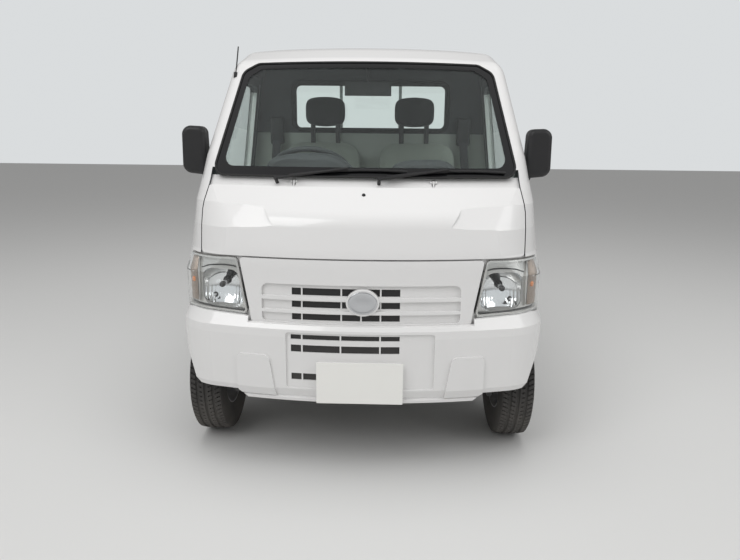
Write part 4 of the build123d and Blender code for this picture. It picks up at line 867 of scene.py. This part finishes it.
for name, side in SIDES:
    bulb_root = (BULB_AT[0] * MM, at_station(dish_station(*BULB_AT) - 1.0), BULB_AT[1] * MM)
    socket = turned([(TIP, 0), (0.016, 0), (0.016, 0.005), (0.010, 0.008), (0.009, 0.028), (0.008, 0.031),
                     (TIP, 0.031)], bulb_root, (0, -1, 0), 32)
    hood_cap = turned([(TIP, 0.062), (0.0105, 0.062), (0.0115, 0.068), (0.011, 0.080), (0.006, 0.085),
                       (TIP, 0.086)], bulb_root, (0, -1, 0), 24)
    park_root = (PARK_AT[0] * MM, at_station(dish_station(*PARK_AT) - 2.5), PARK_AT[1] * MM)
    park_ring = turned([(TIP, 0.001), (0.006, 0.001), (0.007, 0.003), (0.010, 0.003), (0.011, 0.0),
                        (TIP, 0.0)],
                       park_root, (0.1, -1, 0.1), 24)
    strip = swept(tray_path([(468, 838), (456, 760), (447, 690), (444, 650), (462, 642), (520, 642),
                             (600, 646), (690, 650)], TRAY - 1.5), 5.5 * MM, 1.4 * MM, 8, facing=(0, -1, 0))
    hood = swept(tray_path([(470, 806), (508, 814), (552, 815), (598, 809), (634, 796)], TRAY - 2.0),
                 2.6 * MM, 2.2 * MM, 8, facing=(0, -1, 0))
    dark = [flipped(patch, side) for patch in (socket, hood_cap, park_ring, strip, hood)]
    add_piece(f"lamp_sockets_{name}", dark, satin_black, "chassis")
    bulb = turned([(TIP, 0.031), (0.0075, 0.031), (0.0085, 0.037), (0.0085, 0.058), (0.0075, 0.063),
                   (TIP, 0.064)], bulb_root, (0, -1, 0), 24)
    park_bulb = turned([(TIP, 0.001), (0.0045, 0.001), (0.0048, 0.008), (0.003, 0.012), (TIP, 0.013)],
                       park_root, (0.1, -1, 0.1), 20)
    add_piece(f"lamp_bulbs_{name}", [flipped(bulb, side), flipped(park_bulb, side)], clear_lens, "chassis")
    wall_line = smooth_path([(648, 660), (644, 720), (643, 780), (650, 834)], 8)
    fins = np.stack([on_front(wall_line[:, 0] + shift, wall_line[:, 1], depth)
                     for shift, depth in ((-1.2, TRAY), (-1.2, 7.0), (1.2, 7.0), (1.2, TRAY))], axis=1)
    add_piece(f"lamp_divider_{name}", [flipped(grid_patch(fins, round_v=True, caps=True), side)],
              grey_reflector, "chassis")
    u, v = np.meshgrid(np.linspace(0, 1, 80), np.linspace(0, 1, 14), indexing="ij")
    z = 662 + v * (834 - 662) - 6 * u * (1 - v)
    arc_half, arc_centre, arc_radius = corner_arc(z, 13.0 + np.cos(u * 2 * math.pi * 11))
    start = np.arcsin(np.clip((656 - arc_half) / arc_radius, -1, 1))
    angle = start + u * (1.30 - start)
    chamber = np.stack([(arc_half + arc_radius * np.sin(angle)) * MM,
                        at_station(arc_centre - arc_radius * np.cos(angle)), z * MM], axis=-1)
    fluted = flipped(grid_patch(chamber), side)
    add_piece(f"turn_chamber_{name}", [fluted], turn_grey, "chassis", closed=False)
    blinker = on_front(674.0, 744.0, 14.0)
    dome = turned([(TIP, 0), (0.011, 0), (0.0105, 0.003), (0.007, 0.006), (TIP, 0.007)], blinker,
                  (0.66, -0.74, 0.05), 24)
    add_piece(f"turn_bulb_{name}", [flipped(dome, side)], amber_lens, "chassis")
print("each lamp holds a bulb, a position lamp and a turn signal")

# %% [markdown]
# Small front fittings: a plain bright oval in the middle of the grille, the washer's nozzle on the
# lid, and the mirrors' glasses, set in the rear recess of each shell. Flat discs would do from
# afar, but a rolled edge is what makes metal and glass glint, so each is a stack of outlines.

# %% Oval plate, washer nozzle and mirror glasses
OVAL, OVAL_FRONT = (8.0, 693.0, 56.0, 44.0), 46.0
turn = np.linspace(0, 2 * math.pi, 96, endpoint=False)
oval_line = np.stack([np.cos(turn) * OVAL[2], np.sin(turn) * OVAL[3]], axis=1) * MM
oval_place = (OVAL[0] * MM, at_station(OVAL_FRONT + 0.2), OVAL[1] * MM)
oval_levels = [(0, 0), (0.0016, 0), (0.003, 0.0012), (0.0034, 0.004), (0.0026, 0.008), (0.0022, 0.012),
               (0.0036, 0.03)]
add_piece("front_oval", [stacked(oval_line, oval_levels, oval_place, (1, 0, 0), (0, 0, 1))], oval_metal,
          "chassis", sharp=50)
nozzle_place = on_front(4.0, 1085.0, 0.5)
nozzle = turned([(TIP, 0), (0.0075, 0), (0.007, 0.003), (0.0045, 0.006), (TIP, 0.0068)], nozzle_place,
                (0, -0.72, 0.69), 24)
add_piece("washer_nozzle", [nozzle], satin_black, "front_lid")
MIRROR_PANE = [(710.0, 1147.0), (802.0, 1158.0), (798.0, 1342.0), (716.0, 1338.0)]
for name, side in SIDES:
    pane = fine_loop(MIRROR_PANE, [17.0, 31.0, 31.0, 21.0], 3)
    middle = pane.mean(axis=0)
    flat = (pane - middle) * MM * np.array([-1, 1])
    place = (side * middle[0] * MM, at_station(594.0 - 0.5), middle[1] * MM)
    if side < 0:
        flat = flat * np.array([-1, 1])
    add_piece(f"mirror_glass_{name}", [stacked(flat, [(0, 0), (0.0022, 0), (0.003, 0.0012)], place,
                                               (-1, 0, 0), (0, 0, 1))], chrome, f"door_{name}")
print("mirror panes:", np.round(np.ptp(pane, axis=0)), "mm")

# %% [markdown]
# Seat belts hang slack from their reels on the cab's rear corners down to the floor. They could be
# simulated as cloth, but webbing under its own weight hangs almost straight, so a flat bar swept
# along a smooth path gives the same line.

# %% Seat belts
def slab(middle, size, radius, levels, right, up):
    """A rounded plate: its outline is a rectangle with arcs, stacked by (height, inset) in metres."""
    half_u, half_v = np.asarray(size) / 2
    outline = rounded_outline([(half_u, -half_v), (half_u, half_v), (-half_u, half_v), (-half_u, -half_v)],
                              radius, 6)
    return stacked(outline, levels, middle, right, up)


BACK_WALL = at_station(1331.0)
belts, reels = [], []
for name, side in SIDES:
    reels.append(slab((side * 0.520, BACK_WALL, 1.345), (0.072, 0.150), 0.012,
                      [(0, 0), (0.040, 0), (0.047, 0.006), (0.048, 0.012)], (1, 0, 0), (0, 0, 1)))
    reels.append(slab((side * 0.350, BACK_WALL - 0.10, 0.712), (0.022, 0.045), 0.004,
                      [(0, 0), (0.012, 0), (0.014, 0.003)], (1, 0, 0), (0, -0.35, 0.94)))
    hang = smooth_path([(side * 0.520, BACK_WALL - 0.050, 1.29), (side * 0.535, BACK_WALL - 0.056, 1.12),
                        (side * 0.560, BACK_WALL - 0.066, 0.92), (side * 0.575, BACK_WALL - 0.085, 0.74)],
                       12)
    belts.append(swept(hang, 23 * MM, 0.8 * MM, 10, facing=(0, -1, 0.1)))
add_piece("seat_belt_reels", reels, satin_black, "chassis")
add_piece("seat_belts", belts, belt_web, "chassis")
print("seat belts hang from", len(SIDES), "reels")

# %% [markdown]
# The dashboard carries a gauge panel with three dials, four vents and two hoods that
# shade them. These could be pictures on a plain dash, but they stand in front of it and cast
# shadows, so they are rounded plates, turned dials and stacks that follow the hoods' outlines.

# %% Dashboard fittings
DRIVER_X = -SEAT_X
panel = slab((DRIVER_X, at_station(610.0), 1.098), (0.250, 0.066), 0.020,
             [(0, 0), (0.003, 0), (0.004, 0.002)], (-1, 0, 0), (0, 0, 1))
add_piece("gauge_panel", [panel], frit_black, "chassis")
dials = [turned([(TIP, 0.0042), (0.020, 0.0042), (0.0215, 0.0055), (0.0235, 0.0055), (0.024, 0.003),
                 (TIP, 0.003)], (DRIVER_X + shift, at_station(610.0), 1.098), (0, 1, 0),
                40) for shift in (-0.075, 0.0, 0.075)]
add_piece("gauge_dials", dials, dash_plastic, "chassis")
vents = []
for x in (-0.56, -0.07, 0.07, 0.56):
    frame_ring = slab((x, at_station(628.0), 1.020), (0.100, 0.052), 0.012,
                      [(0, 0), (0.004, 0), (0.006, 0.002)], (-1, 0, 0), (0, 0.42, 0.91))
    vents.append(frame_ring)
    vents += [slab((x, at_station(628.0) + 0.0056, 1.020 + rise), (0.084, 0.003), 0.001,
                   [(0, 0), (0.002, 0)],
                   (-1, 0, 0), (0, 0.42, 0.91)) for rise in (-0.015, -0.005, 0.005, 0.015)]
add_piece("dash_vents", vents, satin_black, "chassis")

# columns: x and height of each hood's outline in metres
DRIVER_HOOD = [(-0.436, 1.085), (-0.418, 1.195), (-0.350, 1.228), (-0.255, 1.236), (-0.160, 1.232),
               (-0.085, 1.200), (-0.040, 1.150), (-0.028, 1.085)]
OTHER_HOOD = [(0.092, 1.085), (0.108, 1.160), (0.150, 1.200), (0.260, 1.212), (0.350, 1.205),
              (0.402, 1.160), (0.420, 1.085)]
hoods = []
for corners in (DRIVER_HOOD, OTHER_HOOD):
    line = smooth_path(corners, 8)
    middle = np.array([line[:, 0].mean(), 1.14])
    levels = [(0, 0.030), (0.010, 0.012), (0.030, 0.002), (0.060, 0), (0.130, 0), (0.138, 0.002),
              (0.142, 0.008)]
    hoods.append(stacked((line - middle) * (-1, 1), levels, (middle[0], at_station(444.0), middle[1]),
                         (-1, 0, 0), (0, 0, 1)))
add_piece("dash_hoods", hoods, dash_plastic, "chassis")
print("dashboard:", len(dials), "dials,", len(vents) // 5, "vents,", len(hoods), "hoods")

# %% [markdown]
# The steering wheel's pad turns with the wheel, the stalks stay on the column, and the gear lever
# rises from a rubber boot on the floor. Straight rods would be simpler, but real levers bend
# towards the hand, so they are swept along smooth paths.

# %% Horn pad, stalks and gear lever
COLUMN_TOP, COLUMN_AXIS = np.array([DRIVER_X, at_station(742.0), 1.146]), np.array([0.0, 0.6, 0.8])
horn = turned([(TIP, -0.006), (0.050, -0.006), (0.055, 0.000), (0.052, 0.008), (0.036, 0.014),
               (TIP, 0.016)],
              COLUMN_TOP, COLUMN_AXIS, 48)
add_piece("horn_pad", [horn], dash_plastic, "steering_wheel")
root = COLUMN_TOP - COLUMN_AXIS * 0.095
stalks = [swept(smooth_path([root + np.array([side * 0.040, 0, 0]),
                             root + np.array([side * 0.100, 0.004, 0.006]),
                             root + np.array([side * 0.165, 0.012, 0.016])], 8), 0.0062, 0.0048, 10)
          for side in (-1, 1)]
add_piece("column_stalks", stalks, satin_black, "chassis")

lever = swept(smooth_path([(0.0, at_station(905.0), 0.690), (0.0, at_station(880.0), 0.800),
                           (0.0, at_station(868.0), 0.900)], 8), 0.0065, sides=12)
knob = turned([(TIP, -0.026), (0.012, -0.024), (0.020, -0.006), (0.021, 0.008), (0.014, 0.020),
               (TIP, 0.023)],
              (0.0, at_station(867.0), 0.918), (0, -0.2, 1), 32)
boot = turned([(TIP, 0), (0.055, 0), (0.048, 0.010), (0.050, 0.016), (0.036, 0.026), (0.036, 0.032),
               (0.020, 0.044), (0.010, 0.060), (TIP, 0.060)], (0.0, at_station(908.0), 0.700), (0, -0.1, 1),
              32)
add_piece("gear_lever", [lever, knob, boot], satin_black, "chassis")
print("levers:", len(stalks), "stalks and one gear lever")

# %% [markdown]
# Sun visors fold up under the roof on bent pins, and the inside mirror has a bright pane. A visor
# could be a flat card, but its soft rounded edge shows against the screen, so it is a stack of
# rounded outlines.

# %% Visors and inside mirror
visors = [slab((side * 0.300, at_station(868.0), 1.632), (0.360, 0.125), 0.030,
               [(0, 0.004), (0.003, 0), (0.011, 0), (0.014, 0.004)], (1, 0, 0), (0, 1, 0)) for side in (-1,
                                                                                                        1)]
pins = [swept([(side * 0.46, at_station(812.0), 1.640), (side * 0.300, at_station(812.0), 1.640),
               (side * 0.14, at_station(812.0), 1.640)], 0.005, sides=10) for side in (-1, 1)]
add_piece("sun_visors", visors + pins, visor_cloth, "chassis")
add_piece("inside_mirror_glass", [slab((0.0, at_station(844.3), 1.531), (0.206, 0.050), 0.012,
                                       [(0, 0), (0.0015, 0), (0.002, 0.001)], (-1, 0, 0), (0, 0, 1))],
          chrome, "chassis")
print("under the roof:", len(visors), "visors and one mirror pane")

# %% [markdown]
# Each door carries a moulded card with a raised field, an armrest, a pull handle and a window
# winder. The card could be a flat sheet, but its raised field is what the side light picks out,
# so it is a stack of outlines drawn in towards its middle and laid on the door's inner face.

# %% Door cards
CARD, CARD_RADII = [(565.0, 665.0), (640.0, 620.0), (800.0, 480.0), (1232.0, 445.0), (1232.0, 1082.0),
                    (565.0, 1082.0)], [30.0, 60.0, 60.0, 40.0, 30.0, 40.0]
CARD_RINGS = [(39.5, 1.0), (44.0, 1.0), (46.0, 0.985), (46.0, 0.90), (43.5, 0.885), (43.5, 0.86),
              (47.0, 0.84)]
for name, side in SIDES:
    loop = fine_loop(CARD, CARD_RADII, 8)
    middle = np.array([940.0, 790.0])
    rings = CARD_RINGS + [(47.0, share) for share in np.linspace(0.8, 0.02, 10)]
    card = np.array([on_flank(side, *(middle + (loop - middle) * share).T, depth) for depth,
                     share in rings])
    add_piece(f"door_card_{name}", [grid_patch(card, round_v=True, caps=True)], card_vinyl, f"door_{name}")
    inward, up = (0, -side, 0), (0, 0, 1)
    rest = slab(on_flank(side, 960.0, 835.0, 44.0), (0.300, 0.048), 0.020,
                [(0, 0), (0.038, 0.002), (0.050, 0.008), (0.054, 0.018)], inward, up)
    pull = swept(smooth_path([on_flank(side, 700.0, 925.0, 44.0), on_flank(side, 704.0, 925.0, 66.0),
                              on_flank(side, 745.0, 928.0, 72.0), on_flank(side, 790.0, 930.0, 66.0),
                              on_flank(side, 794.0, 930.0, 44.0)], 6), 0.008, 0.006, 10)
    hub = turned([(TIP, 0), (0.019, 0), (0.018, 0.010), (0.012, 0.016), (TIP, 0.017)],
                 on_flank(side, 840.0, 720.0, 46.0), (-side, 0, 0), 32)
    arm = swept(smooth_path([on_flank(side, 840.0, 720.0, 58.0), on_flank(side, 862.0, 680.0, 66.0),
                             on_flank(side, 880.0, 640.0, 68.0)], 6), 0.0075, 0.005, 10)
    grip = turned([(TIP, 0), (0.009, 0), (0.012, 0.008), (0.011, 0.026), (TIP, 0.028)],
                  on_flank(side, 882.0, 638.0, 64.0), (-side, 0, 0), 24)
    add_piece(f"door_fittings_{name}", [rest, pull, hub, arm, grip], satin_black, f"door_{name}")
print("door cards:", len(loop), "points round each outline")

# %% [markdown]
# The tail lamps are three moulded sections side by side on each dark housing: amber for turning,
# red for braking, clear for reversing. Small amber repeaters sit on the flanks ahead of the doors.
# One striped lens would look flat, so each section is a pillow with cosine flutes on its face.

# %% Tail lamps and side repeaters
def fluted_lens(middle, size, flutes, material, name, body="chassis"):
    """A pillow whose face bulges by a product of arches, with flutes as a cosine across its width."""
    u, v = np.meshgrid(np.linspace(-1, 1, 60), np.linspace(-1, 1, 20), indexing="ij")
    arch = (1 - np.abs(u) ** 8) * (1 - np.abs(v) ** 8)
    rise = arch**0.5 * (0.0048 + 0.0005 * np.cos(u * math.pi * flutes))
    points = np.stack([middle[0] + u * size[0] / 2, middle[1] + rise, middle[2] + v * size[1] / 2], axis=-1)
    base = points.copy()
    base[..., 1] = middle[1] - 0.0005
    return add_piece(name, [grid_patch(points), grid_patch(base[::-1])], material, body,
                     closed=False)


LENS_FACE = at_station(3381.0)
for name, side in SIDES:
    for label, x, width, material in (("amber", 0.652, 0.068, amber_lens), ("red", 0.580, 0.072, red_lens),
                                      ("clear", 0.512, 0.060, clear_lens)):
        fluted_lens((side * x, LENS_FACE, 0.550), (width, 0.090), 9, material, f"tail_{label}_{name}")
    place = on_flank(side, 402.0, 700.0, -0.5)
    repeater = slab(place, (0.058, 0.026), 0.012, [(0, 0), (0.005, 0.001), (0.008, 0.004), (0.009, 0.008)],
                    (0, side, 0), (0, 0, 1))
    add_piece(f"side_repeater_{name}", [repeater], amber_lens, "chassis")
print("tail lamp sections stand", round((LENGTH / 2 - LENS_FACE) / MM), "mm inside the tailgate's face")

# %% [markdown]
# A drop-side bed is held shut by flat latches and carries rope hooks under its rails. Doors have
# a key barrel below the handle, and the fuel filler's cap sits low beside the tank. They could be
# left out as small, but a bare gate looks unfinished, and plates, swept hooks and turned caps are
# each only a few faces.

# %% Latches, hooks, key barrels and filler cap
GATE_FACE, HOOK_X = 0.7456, 0.738
for name, side in SIDES:
    face = side * GATE_FACE
    latches = []
    for station in (1462.0, 3350.0):
        latches.append(slab((face, at_station(station), 0.885), (0.052, 0.074), 0.008,
                            [(-0.001, 0), (0.0016, 0), (0.0022, 0.001)], (0, side, 0), (0, 0, 1)))
        latches.append(slab((face + side * 0.002, at_station(station), 0.880), (0.016, 0.058), 0.006,
                            [(-0.001, 0), (0.0014, 0), (0.0022, 0.001)], (0, side, 0), (0, 0, 1)))
    add_piece(f"gate_latches_{name}", latches, bright_metal, f"side_gate_{name}")
    hooks = []
    for station in np.linspace(1560.0, 3260.0, 6):
        x, y = side * HOOK_X, at_station(station)
        hooks.append(swept(smooth_path([(x, y, 0.575), (x, y, 0.560), (x - side * 0.004, y, 0.548),
                                        (x - side * 0.016, y, 0.543), (x - side * 0.025, y, 0.551)], 6),
                           0.0036, sides=8))
    add_piece(f"rope_hooks_{name}", hooks, satin_black, "chassis")
    barrel = turned([(TIP, -0.002), (0.0115, -0.002), (0.0115, 0.0022), (0.0095, 0.0034), (0.0070, 0.0034),
                     (0.0066, 0.0022), (TIP, 0.0022)], on_flank(side, 1167.0, 938.0, 0.0), (side, 0, 0.1),
                    32)
    add_piece(f"key_barrel_{name}", [barrel], bright_metal, f"door_{name}")
filler = [turned([(TIP, -0.03), (0.030, -0.03), (0.030, 0.010), (0.041, 0.011), (0.043, 0.016),
                  (0.042, 0.028),
                  (0.036, 0.032), (TIP, 0.033)], (-0.672, at_station(1650.0), 0.500), (-1, 0, 0.25), 48)]
add_piece("fuel_filler_cap", filler, satin_black, "chassis")
print("latches stand 4 mm off the gates; hooks hang from the bed's rails")

# %% [markdown]
# Inside each wheel sits its brake: a ribbed drum at the back and a disc at the front, which turns
# with the steering. Plain cylinders could fill the gap, but the drum's ribs and the disc's thin
# edge are what tells them apart, and one turned profile gives each of them.

# %% Brakes
drum = [(TIP, 0), (0.095, 0), (0.104, 0.004), (0.104, 0.012), (0.098, 0.014), (0.098, 0.020),
        (0.104, 0.022), (0.104, 0.034), (0.090, 0.040), (TIP, 0.040)]
disc = [(TIP, 0), (0.108, 0), (0.110, 0.001), (0.110, 0.010), (0.108, 0.011), (0.070, 0.011),
        (0.066, 0.020), (TIP, 0.020)]
for name, side in SIDES:
    add_piece(f"brake_drum_{name}", [turned(drum, (side * 0.548, REAR_AXLE, TYRE_RADIUS), (side, 0, 0),
                                            64)], cast_metal,
              "chassis")
    add_piece(f"brake_disc_{name}", [turned(disc, (side * 0.566, FRONT_AXLE, TYRE_RADIUS), (side, 0, 0),
                                            64)], cast_metal,
              f"knuckle_{name}")
print("drums and discs sit inside the rims, which begin", round((TRACK_HALF - RIM_HALF) / MM), "mm out")

# %% [markdown]
# The stage is only a wide pale floor and a soft sky. Lively surroundings would show in the paint,
# so three large lamps light the truck evenly instead. The camera stands about two metres ahead of
# the bumper and 1.3 m up, tilted down.

# %% Studio floor, lamps and camera
floor_mesh = bpy.data.meshes.new("studio_floor")
floor_mesh.from_pydata([(-30, -30, 0), (30, -30, 0), (30, 30, 0), (-30, 30, 0)], [], [(0, 1, 2, 3)])
studio_floor = bpy.data.objects.new("studio_floor", floor_mesh)
bpy.context.scene.collection.objects.link(studio_floor)
floor_paint = bpy.data.materials.new("floor paint")
floor_paint.use_nodes = True
floor_paint.node_tree.nodes["Principled BSDF"].inputs["Base Color"].default_value = (0.72, 0.72, 0.71, 1)
floor_paint.node_tree.nodes["Principled BSDF"].inputs["Roughness"].default_value = 0.7
floor_mesh.materials.append(floor_paint)


def soft_lamp(name, place, target, size, power, mirrored=True):
    """A square area lamp aimed at a point; one that isn't mirrored leaves no bright square in the glass."""
    light = bpy.data.lights.new(name, "AREA")
    light.shape, light.size, light.energy = "SQUARE", size, power
    lamp = bpy.data.objects.new(name, light)
    lamp.location = place
    aim = unit(np.asarray(place, float) - np.asarray(target, float))
    side = unit(np.cross((0, 0, 1), aim))
    up = np.cross(aim, side)
    lamp.rotation_mode = "QUATERNION"
    lamp.rotation_quaternion = Matrix(np.stack([side, up, aim], axis=1).tolist()).to_quaternion()
    lamp.visible_glossy = lamp.visible_transmission = mirrored
    bpy.context.scene.collection.objects.link(lamp)


soft_lamp("key_lamp", (-3.5, -5.5, 5.5), (0, -0.6, 0.8), 4.0, 138)
soft_lamp("fill_lamp", (5.0, -4.0, 4.5), (0, -0.6, 0.8), 4.0, 80)
soft_lamp("top_lamp", (0, -1.6, 6.0), (0, -0.6, 0.8), 5.0, 150, mirrored=False)
world = bpy.data.worlds.new("pale sky")
bpy.context.scene.world = world
world.use_nodes = True
sky = world.node_tree
lighting, seen = sky.nodes["Background"], sky.nodes.new("ShaderNodeBackground")
lighting.inputs["Color"].default_value, lighting.inputs["Strength"].default_value = (0.82, 0.82, 0.82,
                                                                                     1), 0.46
seen.inputs["Color"].default_value, seen.inputs["Strength"].default_value = (0.70, 0.72, 0.73, 1), 1.0
ray, shown = sky.nodes.new("ShaderNodeLightPath"), sky.nodes.new("ShaderNodeMath")
shown.operation = "MAXIMUM"
two_skies = sky.nodes.new("ShaderNodeMixShader")
joined(sky, [(ray.outputs["Is Camera Ray"], shown.inputs[0]),
             (ray.outputs["Is Transmission Ray"], shown.inputs[1]),
             (shown.outputs["Value"], two_skies.inputs["Fac"]),
             (lighting.outputs["Background"], two_skies.inputs[1]),
             (seen.outputs["Background"], two_skies.inputs[2]),
             (two_skies.outputs["Shader"], sky.nodes["World Output"].inputs["Surface"])])
bpy.context.scene.view_settings.view_transform = "Standard"

FILM_WIDTH, FOCAL_PIXELS, PHOTO_WIDTH = 36.0, 590.0, 740.0
CAMERA_AHEAD, CAMERA_HEIGHT = 2.10, 1.28
yaw, pitch, roll = math.radians(1.2), math.radians(13.0), math.radians(0.6)
ahead = np.array([-math.sin(yaw) * math.cos(pitch), math.cos(yaw) * math.cos(pitch), -math.sin(pitch)])
right = unit(np.cross(ahead, (0, 0, 1)))
above = np.cross(right, ahead)
right, above = (math.cos(roll) * right + math.sin(roll) * above,
                -math.sin(roll) * right + math.cos(roll) * above)
lens = bpy.data.cameras.new("street camera")
lens.sensor_width, lens.lens = FILM_WIDTH, FOCAL_PIXELS / PHOTO_WIDTH * FILM_WIDTH
camera = bpy.data.objects.new("street camera", lens)
camera.matrix_world = Matrix.Translation((0.08, -LENGTH / 2 - CAMERA_AHEAD, CAMERA_HEIGHT)) @ Matrix(
    np.stack([right, above, -ahead], axis=1).tolist()).to_4x4()
bpy.context.scene.collection.objects.link(camera)
bpy.context.scene.camera = camera
print("camera:", round(lens.lens, 1), "mm lens,", CAMERA_AHEAD, "m ahead of the truck")
